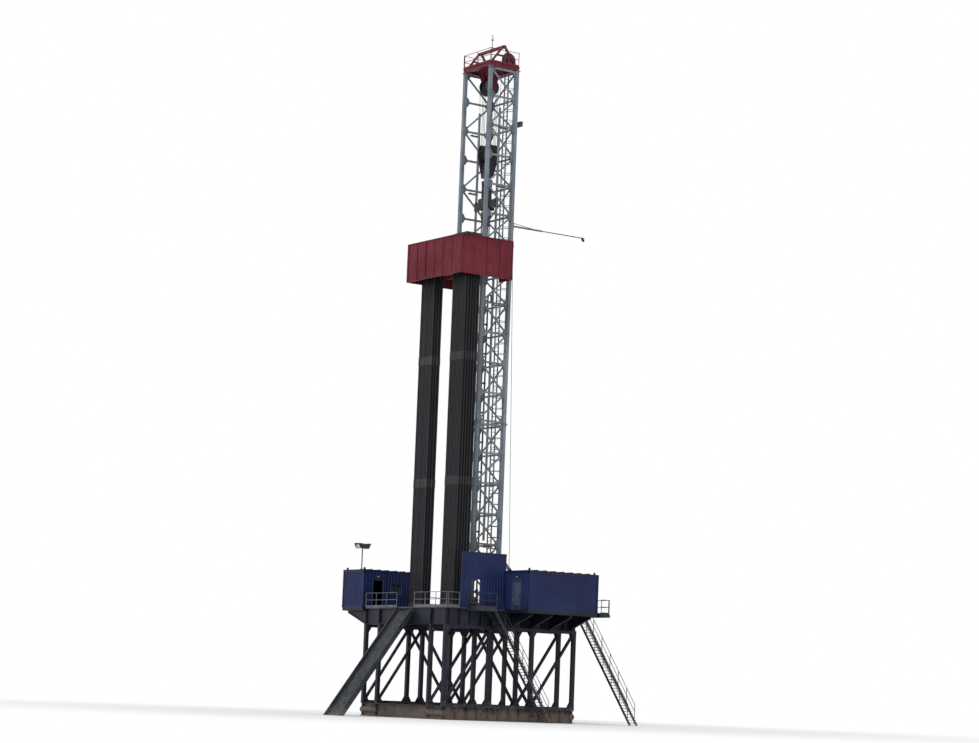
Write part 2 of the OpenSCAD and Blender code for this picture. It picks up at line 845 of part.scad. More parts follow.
module far_house_end_walls() {
    color(blue) translate([far_house_x0, floor_w / 2 + wall_t, floor_h]) {
        end_wall(false);
        translate([far_house_l - wall_t, 0, 0]) end_wall(false);
    }
}

module house_roof(l) {
    block([-roof_lip, 0, 0], [l + roof_lip, house_w + roof_lip, roof_t]);
}

module house_roofs() {
    color(navy) {
        translate([doghouse_x0, -floor_w / 2, floor_h + wall_h]) mirror([0, 1, 0])
            house_roof(doghouse_l);
        translate([far_house_x0, floor_w / 2, floor_h + wall_h]) house_roof(far_house_l);
    }
}

module window_panes() {
    for (x = window_xs) translate([x, wall_t / 2 - glass_t / 2, sill_h])
        cube([window_w, glass_t, window_h]);
}

module house_windows() {
    color([0.15, 0.2, 0.25, 0.5]) {
        translate([doghouse_x0, -floor_w / 2 - wall_t, floor_h]) window_panes();
        translate([far_house_x0, floor_w / 2, floor_h]) window_panes();
    }
}

module house_doors() {
    y = -floor_w / 2 - house_w + wall_t + (house_w - 2 * wall_t - door_w) / 2;
    color(light_grey) for (x = [0, doghouse_l - wall_t])
        translate([doghouse_x0 + x + (wall_t - door_t) / 2, y, floor_h])
            cube([door_t, door_w, door_h]);
}

module near_wind_wall() {
    x1 = doghouse_x0;
    x0 = wind_wall_x0;
    y = -floor_w / 2;
    door_x0 = landing_x0 + landing_door_x;
    color(blue) difference() {
        union() {
            block([x0, y, floor_h], [x1, y + wall_t / 2, floor_h + wind_wall_h]);
            for (x = [x0, door_x0 - wall_t, door_x0 + door_w, x1 - wall_t])
                block([x, y, floor_h], [x + wall_t, y + 2 * wall_t, floor_h + wind_wall_h]);
            for (z = [door_h, wind_wall_h - wall_t])
                block([x0, y, floor_h + z], [x1, y + 1.5 * wall_t, floor_h + z + wall_t]);
        }
        block([door_x0, y - opening_cut, floor_h - opening_cut],
              [door_x0 + door_w, y + 3 * wall_t, floor_h + door_h]);
    }
}

// Motor along +Y from Y = 0, its shaft at Z = 0, on a foot that stands on Z = -h
module drawworks_motor(h) {
    bell_l = 60;
    foot_in = 80;
    rotate([-90, 0, 0]) {
        cylinder(h = motor_l, r = motor_r);
        translate([0, 0, motor_l - end_lap]) cylinder(h = bell_l, r = motor_r * 0.8);
    }
    block([-motor_r * 0.9, foot_in, -h], [motor_r * 0.9, motor_l - foot_in, -motor_r * 0.4]);
    block([-motor_r * 0.5, motor_l * 0.3, motor_r * 0.6],
          [motor_r * 0.5, motor_l * 0.75, motor_r * 1.35]);
}

// Skid, side cases, the hood over the drum, and a motor outside each case
module drawworks() {
    skid_top = floor_h + drawworks_skid_h;
    skid_w = 160;
    sheet = 30;
    case_in = drum_w / 2 + bearing_l;
    case_t = 120;
    case_out = case_in + case_t;
    x0 = drum_x - drum_flange_r - 70;
    x1 = floor_l / 2 - drawworks_rear;
    hood_front = drum_x + 200;
    hood_rear = drum_x + 330;
    top = drum_z + drum_flange_r + 40;
    back = skid_top + hood_back_h;
    motor_z = skid_top + motor_r + 20;
    color(blue) {
        for (s = sides) on_side(s) {
            block([x0, drawworks_half - skid_w, floor_h], [x1, drawworks_half, skid_top]);
            plate_xz(case_in + case_t / 2, case_t, [
                [x0, skid_top - end_lap], [x1, skid_top - end_lap], [x1, back],
                [hood_rear, top], [drum_x - 250, top], [x0, drum_z + 120]
            ]);
            translate([motor_x, case_out - end_lap, motor_z]) drawworks_motor(motor_z - floor_h);
        }
        block([x0, -drawworks_half, skid_top - sheet], [x1, drawworks_half, skid_top]);
        plate_xz(0, 2 * case_in + 2 * end_lap, [
            [x1 - sheet, skid_top - end_lap], [x1, skid_top - end_lap], [x1, back],
            [hood_rear, top], [hood_front, top], [hood_front, top - sheet],
            [hood_rear - sheet / 2, top - sheet], [x1 - sheet, back - sheet / 2]
        ]);
    }
}

module drawworks_drum() {
    flange_l = 30;
    drum_shaft_r = 90;
    color(dark_steel) translate([drum_x, 0, drum_z]) rotate([90, 0, 0]) {
        cylinder(h = drum_w, r = drum_r, center = true);
        for (s = sides) translate([0, 0, s * (drum_w + flange_l) / 2])
            cylinder(h = flange_l + end_lap, r = drum_flange_r, center = true);
        cylinder(h = drum_w + 2 * bearing_l - 2 * seat, r = drum_shaft_r, center = true);
    }
}

// Mast leg whose inner corner faces the mast's centre; sx and sy give its outward sides
module mast_leg(sx, sy) {
    block([-leg_w / 2, -leg_w / 2, 0], [leg_w / 2, leg_w / 2, section_h]);
    for (z = [0, section_h - splice_t]) {
        x = [-sx * leg_w / 2, -sx * leg_w / 2 + sx * splice_w];
        y = [-sy * leg_w / 2, -sy * leg_w / 2 + sy * splice_w];
        block([min(x), min(y), z], [max(x), max(y), z + splice_t]);
    }
}

function node_z(i) = i == 0 ? node_inset : i == section_bays ? section_h - node_inset : i * bay_h;

// Half the outline of a mast gusset, from the leg inwards
function gusset_half(h) = h > gusset_lip
    ? [[-end_lap, h], [mast_gusset_l * 0.35, h], [mast_gusset_l, gusset_lip]]
    : [[-end_lap, h], [mast_gusset_l, h]];

// Gusset plates on both faces of a girt t thick, beside the inner edge of a leg
module gussets(edge, s, z, t, up, down) {
    high = gusset_half(up);
    low = gusset_half(down);
    points = concat(high, [for (i = [len(low) - 1:-1:0]) [low[i][0], -low[i][1]]]);
    for (f = sides) plate_xz(f * (t / 2 + gusset_t / 2 - end_lap), gusset_t,
                             [for (p = points) [s * (edge - p[0]), z + p[1]]]);
}

// Girts, gussets and zigzag diagonals in X and Z, the legs' inner edges at plus and minus edge
module lacing(half, edge, w, t, slim, slim_t) {
    for (i = [0:section_bays]) {
        bar([-half, 0, node_z(i)], [half, 0, node_z(i)], w, t);
        up = i == section_bays ? w / 2 : mast_gusset_h;
        down = i == 0 ? w / 2 : mast_gusset_h;
        for (s = sides) gussets(edge, s, node_z(i), t, up, down);
    }
    for (i = [0:section_bays - 1]) {
        s = i % 2 == 0 ? -1 : 1;
        bar([s * half, 0, node_z(i)], [-s * half, 0, node_z(i + 1)], slim, slim_t);
    }
}

module mast_sides(section) {
    color(light_grey) for (sy = sides) translate([0, sy * leg_y, mast_z + section * section_h]) {
        for (sx = sides) translate([sx * leg_x, 0, 0]) mast_leg(sx, sy);
        lacing(leg_x, leg_x - leg_w / 2, girt_w, girt_t, diagonal_w, diagonal_w);
    }
}

// Rear side, with a strip against each leg
module mast_rear(section) {
    half = leg_in_y - strip_w / 2;
    color(light_grey) translate([leg_x, 0, mast_z + section * section_h]) {
        for (s = sides) translate([0, s * half, section_h / 2])
            cube([strip_w, strip_w, section_h], center = true);
        rotate([0, 0, 90]) lacing(half, half, girt_w, strip_w, diagonal_w, strip_w * 0.8);
    }
}

module lower_mast_sides() { mast_sides(0); }
module lower_mast_rear() { mast_rear(0); }
module middle_mast_sides() { mast_sides(1); }
module middle_mast_rear() { mast_rear(1); }
module upper_mast_sides() { mast_sides(2); }
module upper_mast_rear() { mast_rear(2); }

module mast_shoes() {
    half = leg_w / 2 + 45;
    base = half + 40;
    base_t = 40;
    color(navy) for (sx = sides) for (sy = sides)
        translate([sx * leg_x, sy * leg_y, floor_h]) {
            block([-base, -base, 0], [base, base, base_t]);
            block([-half, -half, base_t - end_lap], [half, half, shoe_h]);
        }
}

module mast_back_braces() {
    pad_t = 60;
    pad_low = 150;
    pad_high = 110;
    foot_w = 200;
    foot_h = 110;
    foot_lead = 170;
    foot_tail = 130;
    top = [leg_out_x + back_brace_w / 2, 0, floor_h + back_brace_h];
    foot = [floor_l / 2 - 300, 0, floor_h + 90];
    color(light_grey) for (s = sides) translate([0, s * leg_y, 0]) {
        bar(top, foot, back_brace_w, back_brace_w * 0.8);
        block([leg_out_x, -leg_w / 2, top.z - pad_low],
              [leg_out_x + pad_t, leg_w / 2, top.z + pad_high]);
        block([foot.x - foot_lead, -foot_w / 2, floor_h],
              [foot.x + foot_tail, foot_w / 2, floor_h + foot_h]);
    }
}

// Top drive guide rails, held by an arm from every girt that they pass
module guide_rails() {
    z0 = floor_h + guide_foot_h;
    z1 = block_axis_z + guide_over;
    first = ceil((z0 - mast_z) / bay_h);
    last = floor((z1 - mast_z) / bay_h);
    arm_in = guide_y + guide_d / 2 - end_lap;
    arm_out = leg_y - girt_t / 2;
    color(steel) for (s = sides) on_side(s) {
        block([-guide_w / 2, guide_in, z0], [guide_w / 2, guide_y + guide_d / 2, z1]);
        for (i = [first:last]) {
            lift = i % section_bays == 0 ? node_inset : 0;
            translate([0, (arm_in + arm_out) / 2, mast_z + i * bay_h + lift])
                cube([guide_w, arm_out - arm_in, guide_w], center = true);
        }
    }
}

module mast_ladder() {
    x = leg_out_x + 60;
    rail_d = 48;
    rail_w = 24;
    arm_h = 40;
    rung_r = 10;
    arm_x = leg_x + strip_w / 2;
    rungs = floor((mast_top - floor_h) / rung_gap) - 1;
    color(light_grey) {
        for (s = sides) translate([x, s * ladder_w / 2, (floor_h + mast_top) / 2])
            cube([rail_d, rail_w, mast_top - floor_h], center = true);
        for (i = [1:rungs]) translate([x, 0, floor_h + i * rung_gap]) rotate([90, 0, 0])
            cylinder(h = ladder_w, r = rung_r, center = true, $fn = 6);
        for (k = [1:2:3 * section_bays - 1]) for (s = sides)
            translate([(x + arm_x) / 2, s * ladder_w / 2, mast_z + k * bay_h])
                cube([x - arm_x, rail_w, arm_h], center = true);
    }
}

module board_bar(low, high) {
    block([low[0], low[1], board_z - board_beam_h], [high[0], high[1], board_z]);
}

module racking_platform() {
    bw = board_beam_w;
    gate = 150;
    plate_t = 20;
    plank_l = board_l - bw - leg_out_x - gate;
    edge_w = 50;
    color(maroon) {
        board_bar([-board_l, -board_y], [-board_l + bw, board_y]);
        for (s = sides) on_side(s) {
            board_bar([-board_l + bw + seat, side_beam_in], [board_rear, board_y]);
            board_bar([-leg_out_x - bw, leg_in_y], [-leg_out_x, side_beam_in - seat]);
            board_bar([board_rear - 1.5 * bw, leg_y + girt_t / 2],
                      [board_rear, side_beam_in - seat]);
        }
        translate([-board_l + bw + seat, 0, board_z]) {
            block([0, -diving_board_w / 2, -plate_t], [plank_l, diving_board_w / 2, 0]);
            for (s = sides) translate([0, s * diving_board_w / 2 - edge_w / 2, -board_beam_h])
                cube([plank_l, edge_w, board_beam_h]);
        }
    }
}

module racking_fingers() {
    color(maroon) for (s = sides) for (i = [0:slots])
        translate([first_finger + i * slot_pitch, s * (side_beam_in - seat + aisle) / 2,
                   board_z - finger_h / 2])
            cube([finger_w, side_beam_in - seat - aisle, finger_h], center = true);
}

// Flat wind wall along X from 0 to l, its sheet between Y = 0 and sheet_t, ribs outside
module wind_panel(l) {
    ribs = max(2, round(l / 600));
    block([0, 0, 0], [l, sheet_t, board_wall_h]);
    for (i = [0:ribs]) translate([i * (l - rib_d) / ribs, sheet_t - end_lap, 0])
        cube([rib_d, rib_d, board_wall_h]);
    for (z = [0, board_wall_h - rib_d]) translate([0, sheet_t - end_lap, z]) cube([l, rib_d, rib_d]);
}

module board_front_wall() {
    color(maroon) translate([-board_l, -board_y, wall_z]) rotate([0, 0, 90]) wind_panel(board_w);
}

module board_side_walls() {
    back_in = leg_out_y + 30;
    color(maroon) for (s = sides) on_side(s) {
        translate([-board_l, board_y, wall_z]) wind_panel(board_l + board_rear);
        translate([board_rear, board_y - seat, wall_z]) rotate([0, 0, -90])
            wind_panel(board_y - seat - back_in);
    }
}

// Outline of a stand of three joints, radius against height
function joint_points(z) = [
    [tool_joint_r, z], [tool_joint_r, z + tool_joint_l],
    [pipe_r, z + tool_joint_l + tool_joint_r / 2],
    [pipe_r, z + joint_l - tool_joint_l - tool_joint_r / 2],
    [tool_joint_r, z + joint_l - tool_joint_l]
];
stand_points = concat([[0, 0]], joint_points(0), joint_points(joint_l), joint_points(2 * joint_l),
                      [[tool_joint_r, stand_l], [0, stand_l]]);

module stand() {
    rotate_extrude($fn = 16) polygon(stand_points);
}

module racked_pipe(side, first, rows) {
    for (i = [first:first + rows - 1]) for (k = [0:row_stands - 1])
        translate([slot_x(i), side * (first_stand + k * stand_gap), stand_z]) stand();
}

module near_racked_pipe() {
    color(dark_steel) racked_pipe(-1, near_first, near_rows);
}

module far_racked_pipe() {
    color(dark_steel) racked_pipe(1, far_first, far_rows);
}

// Hanging side plate of the crown sheaves, under its beam
module crown_cheek(y) {
    top_half = 360;
    low_half = 110;
    plate_xz(y, crown_cheek_t, [
        [-leg_x, mast_top], [leg_x, mast_top], [leg_x, deck_z], [-leg_x, deck_z]
    ]);
    plate_xz(y, crown_cheek_t, [
        [-top_half, mast_top + end_lap], [-low_half, crown_z], [low_half, crown_z],
        [top_half, mast_top + end_lap]
    ]);
    translate([0, y, crown_z]) rotate([90, 0, 0])
        cylinder(h = crown_cheek_t, r = low_half, center = true);
}

module crown_frame() {
    ring_w = 120;
    cluster_y = 1.5 * sheave_gap + crown_cheek_t / 2;
    cheeks = [-cluster_y, cluster_y, lead_y - lead_cheek_y, lead_y + lead_cheek_y];
    shaft_end = crown_cheek_t;
    color(maroon) {
        for (s = sides) {
            block([s * leg_out_x - (s > 0 ? ring_w : 0), -leg_out_y, mast_top],
                  [s * leg_out_x + (s > 0 ? 0 : ring_w), leg_out_y, deck_z]);
            block([-leg_out_x, s * leg_out_y - (s > 0 ? ring_w : 0), mast_top],
                  [leg_out_x, s * leg_out_y + (s > 0 ? 0 : ring_w), deck_z]);
        }
        for (y = cheeks) crown_cheek(y);
        translate([0, min(cheeks) - shaft_end, crown_z]) rotate([-90, 0, 0])
            cylinder(h = max(cheeks) - min(cheeks) + 2 * shaft_end, r = shaft_r);
    }
}

module sheave(w) {
    hub_r = shaft_r + 40;
    web = 16;
    rim_in = groove_r - 30;
    half = rim_t / 2;
    lip = half - rim_edge;
    groove = line_r + 1.5;
    rotate([90, 0, 0]) rotate_extrude() polygon([
        [shaft_r + running, -w / 2], [hub_r, -w / 2], [hub_r, -web / 2], [rim_in, -web / 2],
        [rim_in, -half], [rim_r, -half], [rim_r, -lip], [groove_r, -groove],
        [groove_r, groove], [rim_r, lip], [rim_r, half], [rim_in, half],
        [rim_in, web / 2], [hub_r, web / 2], [hub_r, w / 2], [shaft_r + running, w / 2]
    ]);
}

module crown_sheaves() {
    hub = sheave_gap - 2 * running;
    lead_hub = hub * 0.85;
    color(steel) {
        for (y = cluster_ys) translate([0, y, crown_z]) sheave(hub);
        translate([0, lead_y, crown_z]) sheave(lead_hub);
        translate([fast_x, -lead_y, fast_z]) sheave(lead_hub);
    }
}

// Plates and railings round the crown's opening, with the stand of the fast-line sheave
module crown_platform() {
    x = leg_out_x + crown_lip;
    y = leg_out_y + crown_lip;
    hole_x = 450;
    hole_y = 500;
    in = 2 * rail_r;
    top = deck_z + deck_t + seat;
    stand_x0 = hole_x + 10;
    stand_x1 = x - 10;
    stand_w = 140;
    base_t = 16;
    plate_y = 52;
    plate_t = 24;
    eye_half = 70;
    axle = fast_z - top;
    color(maroon) {
        for (s = sides) {
            xs = [s * hole_x, s * x];
            ys = [s * hole_y, s * y];
            block([min(xs), -y, deck_z], [max(xs), y, deck_z + deck_t]);
            block([-hole_x + seat, min(ys), deck_z], [hole_x - seat, max(ys), deck_z + deck_t]);
        }
        translate([0, 0, top - floor_h]) {
            for (s = sides) railing_x(-x + 2 * in, x - 2 * in, s * (y - in));
            railing_y(-x + in, -y + in, y - in);
        }
        translate([0, -lead_y, top]) {
            block([stand_x0, -stand_w / 2, 0], [stand_x1, stand_w / 2, base_t]);
            for (s = sides) plate_xz(s * plate_y, plate_t, [
                [stand_x0, 0], [stand_x1, 0], [fast_x + eye_half, axle + shaft_r],
                [fast_x - eye_half, axle + shaft_r]
            ]);
            translate([fast_x, 0, axle]) rotate([90, 0, 0])
                cylinder(h = 2 * plate_y + plate_t, r = shaft_r, center = true);
        }
    }
}

// Lifting frame over the crown, two pairs of raking legs under a ridge beam
module gin_frame() {
    z = deck_z + deck_t + seat;
    foot_x = leg_out_x - 120;
    y = leg_out_y - 120;
    w = 70;
    foot = [70, 55];
    ridge = [60, y + w, 100];
    tie_z = z + gin_h * 0.42;
    tie_x = foot_x * 0.62;
    apex = z + gin_h;
    finial_r = 12;
    color(maroon) {
        for (s = sides) {
            for (t = sides) {
                bar([t * foot_x, s * y, z + w / 2], [t * 40, s * y, apex - w / 2], w, w);
                block([t * foot_x - foot[0], s * y - foot[1], z],
                      [t * foot_x + foot[0], s * y + foot[1], z + w / 2]);
            }
            block([-tie_x, s * y - w * 0.4, tie_z], [tie_x, s * y + w * 0.4, tie_z + w * 0.8]);
        }
        block([-ridge[0], -ridge[1], apex - ridge[2]], [ridge[0], ridge[1], apex]);
        translate([0, 0, apex - end_lap]) cylinder(h = rod_h, r = finial_r);
    }
}

module block_cheek(y) {
    top = rim_r + cheek_t;
    wide = rim_r + 20;
    low = 150;
    plate_xz(y, cheek_t, [
        [-wide * 0.72, block_top], [wide * 0.72, block_top], [wide, block_axis_z + top * 0.45],
        [wide, block_axis_z - rim_r * 0.35], [low, block_bottom + 90], [low, block_bottom],
        [-low, block_bottom], [-low, block_bottom + 90], [-wide, block_axis_z - rim_r * 0.35],
        [-wide, block_axis_z + top * 0.45]
    ]);
}

module travelling_block() {
    y = block_cheek_y + cheek_t / 2;
    out = y + cheek_t / 2;
    nut = 20;
    foot_x = 150;
    foot_h = 200;
    spacer_x = 100;
    spacer_w = 80;
    clear = 25;
    color(maroon) {
        for (s = sides) block_cheek(s * y);
        translate([0, 0, block_axis_z]) rotate([90, 0, 0])
            cylinder(h = 2 * (out + nut), r = shaft_r, center = true);
        block([-foot_x, -out, block_bottom], [foot_x, out, block_bottom + foot_h]);
        for (s = sides)
            block([s * spacer_x - spacer_w / 2, -y, block_bottom + foot_h - end_lap],
                  [s * spacer_x + spacer_w / 2, y, block_axis_z - rim_r - clear]);
    }
}

module block_sheaves() {
    color(steel) for (y = block_ys) translate([0, y, block_axis_z]) sheave(sheave_gap - 2 * running);
}

// Shoe that runs on a guide rail, open outwards
module guide_shoe() {
    slot = guide_w / 2 + guide_gap;
    wall = 40;
    back = 60;
    reach = guide_y + 20;
    difference() {
        block([-slot - wall, shoe_face - back, 0], [slot + wall, reach, gear_h * 0.8]);
        block([-slot, shoe_face, -end_lap], [slot, reach + end_lap, gear_h]);
    }
}

// Gear case on a hanger, its motor on top, pipe handler below and a guide shoe on each side
module top_drive() {
    body_x = 260;
    body_y = 250;
    corner = 60;
    arm = 70;
    yoke_x = 90;
    yoke_low = block_bottom - 230;
    yoke_high = block_bottom - 100;
    bail_y = 120;
    motor = [160, 440];
    stem_r = 85;
    handler = [190, 210];
    handler_z = gear_z - 290;
    ear_w = 90;
    ear_h = 180;
    color(maroon) {
        translate([0, 0, gear_z]) linear_extrude(gear_h)
            polygon(cut_corners(body_x, body_y, corner));
        for (s = sides) on_side(s) {
            block([-80, body_y - end_lap, gear_z + 60], [80, shoe_face - 50, gear_top - 100]);
            translate([0, 0, gear_z + 40]) guide_shoe();
            block([-arm, body_y - arm, gear_top - end_lap], [arm, body_y, yoke_low + arm]);
        }
        block([-yoke_x, -body_y, yoke_low], [yoke_x, body_y, yoke_high]);
        block([-arm, -bail_y, yoke_high - end_lap], [arm, bail_y, block_bottom]);
        translate([-body_x * 0.1, 0, gear_top - end_lap]) cylinder(h = motor[1], r = motor[0]);
        translate([0, 0, gear_z - stem_h]) cylinder(h = stem_h + end_lap, r = stem_r);
        translate([0, 0, handler_z]) cylinder(h = handler[1], r = handler[0]);
        for (s = sides) block([-arm, s * handler[0] - ear_w / 2, handler_z - 40],
                              [arm, s * handler[0] + ear_w / 2, handler_z - 40 + ear_h]);
    }
}

// Two links with an eye at each end, and the elevator that they carry
module elevator_links() {
    low = link_top - link_l;
    eye = 60;
    rod_r = 24;
    eye_x = 45;
    ear_x = 40;
    elevator_r = 150;
    elevator_h = 180;
    top_in = link_y - 26.7;
    color(steel) {
        for (s = sides) on_side(s) {
            rod([0, link_y, low + 20], [0, link_y, link_top + 150], rod_r);
            block([-eye_x, link_y - 20, low - eye], [eye_x, link_y + rod_r, low + 2 * eye]);
            block([-eye_x, top_in, link_top + 90], [eye_x, link_y + rod_r, link_top + 210]);
            block([-ear_x, elevator_r - 30, low - 30], [ear_x, link_y - 12, low + eye]);
        }
        translate([0, 0, low - elevator_h / 2]) difference() {
            cylinder(h = elevator_h, r = elevator_r);
            translate([0, 0, -end_lap])
                cylinder(h = elevator_h + 2 * end_lap, r = pipe_r + 12);
        }
    }
}

// Lines between the crown and the block
module drill_lines() {
    crown_front = concat(cluster_ys, [lead_y]);
    color(dark_steel) {
        for (i = [0:3])
            rod([-line_x, block_ys[i], block_axis_z], [-line_x, crown_front[i], crown_z], line_r);
        for (i = [1:3])
            rod([line_x, block_ys[i], block_axis_z], [line_x, cluster_ys[i - 1], crown_z],
                line_r);
        rod([line_x, block_ys[0], block_axis_z], [line_x, -lead_y, fast_z], line_r);
    }
}

// Fast line from its sheave down to the drum, and dead line from the crown to its anchor
module fast_and_dead_lines() {
    drum_front = drum_x - drum_r - line_r - seat;
    color(dark_steel) {
        rod([fast_x + sheave_r, -lead_y, fast_z], [drum_front, -lead_y, drum_z], line_r);
        rod([line_x, lead_y, crown_z], anchor, line_r);
    }
}

module deadline_anchor() {
    y = anchor.y - anchor_r - line_r - seat;
    wheel_w = 90;
    post = [40, 60];
    base = 100;
    base_t = 30;
    color(navy) {
        translate([anchor.x, y, anchor.z]) rotate([0, 90, 0])
            cylinder(h = wheel_w, r = anchor_r, center = true);
        block([anchor.x - post[0], y - post[1], floor_h],
              [anchor.x + post[0], y + post[1], anchor.z]);
        block([anchor.x - base, y - base, floor_h], [anchor.x + base, y + base, floor_h + base_t]);
    }
}

// Thin pole out from a rear leg, its inner part thicker and stayed from above
module mast_boom() {
    z = floor_h + boom_z;
    x = leg_out_x;
    plate = [24, 60, 140];
    inner_l = boom_l * 0.4;
    stay_r = 12;
    color(dark_steel) translate([0, -leg_y, 0]) {
        block([x, -plate[1], z - plate[2]], [x + plate[0], plate[1], z + plate[2]]);
        translate([x + plate[0] / 2, 0, z]) rotate([0, 90, 0]) cylinder(h = inner_l, r = boom_r);
        translate([x + inner_l, 0, z]) rotate([0, 90, 0])
            cylinder(h = boom_l - inner_l, r = boom_r * 0.6);
        rod([x + plate[0] / 2, 0, z + plate[2] - 20], [x + boom_l * 0.35, 0, z], stay_r);
    }
}

// Lamp housing facing +X, its back at X = 0
module lamp() {
    depth = lamp_w * 0.3;
    rim = 12;
    block([0, -lamp_w / 2, -depth], [depth, lamp_w / 2, depth]);
    block([depth - end_lap, -lamp_w / 2 - rim, -depth - rim],
          [depth * 1.2, lamp_w / 2 + rim, depth + rim]);
}

// Pair of lamps on a pole over the far house, and one on the mast
module floodlights() {
    pole = [far_house_x0 + 100, floor_w / 2 + lamp_pole_y, floor_h + house_h];
    pole_r = 22;
    foot_r = 70;
    head = lamp_w * 0.3;
    arm = 30;
    arm_l = 80;
    color(dark_steel) {
        translate(pole) {
            cylinder(h = lamp_pole_h, r = pole_r);
            cylinder(h = pole_r, r = foot_r);
            for (turn = [0, 180]) translate([0, 0, lamp_pole_h]) rotate([0, 0, turn])
                translate([head, 0, 0]) lamp();
            block([-head - end_lap, -arm, lamp_pole_h - arm],
                  [head + end_lap, arm, lamp_pole_h + arm]);
        }
        translate([leg_out_x, -leg_y, floor_h + mast_lamp_h]) {
            block([0, -arm, -arm], [arm_l + end_lap, arm, arm]);
            translate([arm_l, 0, 0]) lamp();
        }
    }
}

base_boxes();
base_spreaders();
near_side_frame();
far_side_frame();
floor_boxes();
floor_beams();
drill_floor();
setback_mats();
rotary_table();
v_door_ramp();
floor_railings();
stair_landings();
near_stair();
rear_stair();
house_brackets();
house_floors();
doghouse_side_walls();
doghouse_end_walls();
far_house_side_walls();
far_house_end_walls();
house_roofs();
house_windows();
house_doors();
near_wind_wall();
drawworks();
drawworks_drum();
lower_mast_sides();
lower_mast_rear();
middle_mast_sides();
middle_mast_rear();
upper_mast_sides();
upper_mast_rear();
mast_shoes();
mast_back_braces();
guide_rails();
mast_ladder();
racking_platform();
racking_fingers();
board_front_wall();
board_side_walls();
near_racked_pipe();
far_racked_pipe();
crown_frame();
crown_platform();
crown_sheaves();
gin_frame();
travelling_block();
block_sheaves();
top_drive();
elevator_links();
drill_lines();
fast_and_dead_lines();
deadline_anchor();
mast_boom();
floodlights();
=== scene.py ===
# Half-scale land drilling rig: finishes, fittings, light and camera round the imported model.
import json
import math

import bmesh
import bpy
from mathutils import Matrix, Vector


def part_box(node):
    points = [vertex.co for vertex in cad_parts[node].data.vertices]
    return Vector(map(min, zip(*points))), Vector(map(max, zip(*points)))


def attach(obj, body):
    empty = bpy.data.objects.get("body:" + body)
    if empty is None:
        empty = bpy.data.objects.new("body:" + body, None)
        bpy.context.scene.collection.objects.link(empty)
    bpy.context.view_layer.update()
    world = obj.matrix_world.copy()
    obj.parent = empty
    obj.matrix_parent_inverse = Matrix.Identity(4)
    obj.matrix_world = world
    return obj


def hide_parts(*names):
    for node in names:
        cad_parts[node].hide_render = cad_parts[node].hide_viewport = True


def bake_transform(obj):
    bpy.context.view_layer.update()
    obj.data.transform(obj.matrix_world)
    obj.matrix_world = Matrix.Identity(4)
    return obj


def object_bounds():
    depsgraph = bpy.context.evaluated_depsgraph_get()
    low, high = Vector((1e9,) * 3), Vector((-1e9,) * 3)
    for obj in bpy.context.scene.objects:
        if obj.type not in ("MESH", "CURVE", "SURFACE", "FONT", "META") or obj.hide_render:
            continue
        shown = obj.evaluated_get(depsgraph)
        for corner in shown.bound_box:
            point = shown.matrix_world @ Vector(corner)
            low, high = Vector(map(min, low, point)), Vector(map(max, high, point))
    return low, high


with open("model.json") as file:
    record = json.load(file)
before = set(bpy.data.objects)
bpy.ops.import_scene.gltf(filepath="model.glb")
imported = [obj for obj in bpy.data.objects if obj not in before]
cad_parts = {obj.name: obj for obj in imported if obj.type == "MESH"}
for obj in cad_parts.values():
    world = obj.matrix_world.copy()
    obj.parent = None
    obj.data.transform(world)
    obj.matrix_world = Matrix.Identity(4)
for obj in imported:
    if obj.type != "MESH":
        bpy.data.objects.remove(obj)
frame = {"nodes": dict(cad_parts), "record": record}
cad_low, cad_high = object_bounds()
RIG, HOIST = "rig", "hoist"

# Places and sizes of the model's own members, in metres
SECTIONS, SECTION_BAYS = 3, 6
LEG, GIRT, REAR_STRIP, GUSSET = 0.13, 0.07, 0.05, 0.009
SPLICE_LIP, SPLICE_T = 0.035, 0.03
mast_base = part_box("lower_mast_sides")[0].z
mast_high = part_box("upper_mast_sides")[1]
mast_top = mast_high.z
bay = (mast_top - mast_base) / (SECTIONS * SECTION_BAYS)
leg_out = Vector((mast_high.x - SPLICE_LIP, mast_high.y - SPLICE_LIP, 0))
leg_mid = leg_out - Vector((LEG / 2, LEG / 2, 0))
leg_in = leg_out - Vector((LEG, LEG, 0))
floor_low, floor_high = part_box("drill_floor")
deck = floor_high.z
dog_low, dog_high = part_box("doghouse_side_walls")
far_low, far_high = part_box("far_house_side_walls")
HOUSES = {"doghouse": (dog_low, dog_high), "far_house": (far_low, far_high)}
SLOT_PITCH, STAND_GAP, FIRST_STAND, STANDS = 0.122, 0.09, 0.742, 10
crown_axis, block_axis = 24.49, 21.8
SIDES = (-1, 1)
CORNERS = [(along, across) for along in SIDES for across in SIDES]


def srgb(*channels):
    """Colour of 0 to 255 a channel, as the linear values that shaders take."""
    shares = [value / 255 for value in channels]
    return (*(s / 12.92 if s <= 0.04045 else ((s + 0.055) / 1.055) ** 2.4 for s in shares), 1.0)


# Node trees

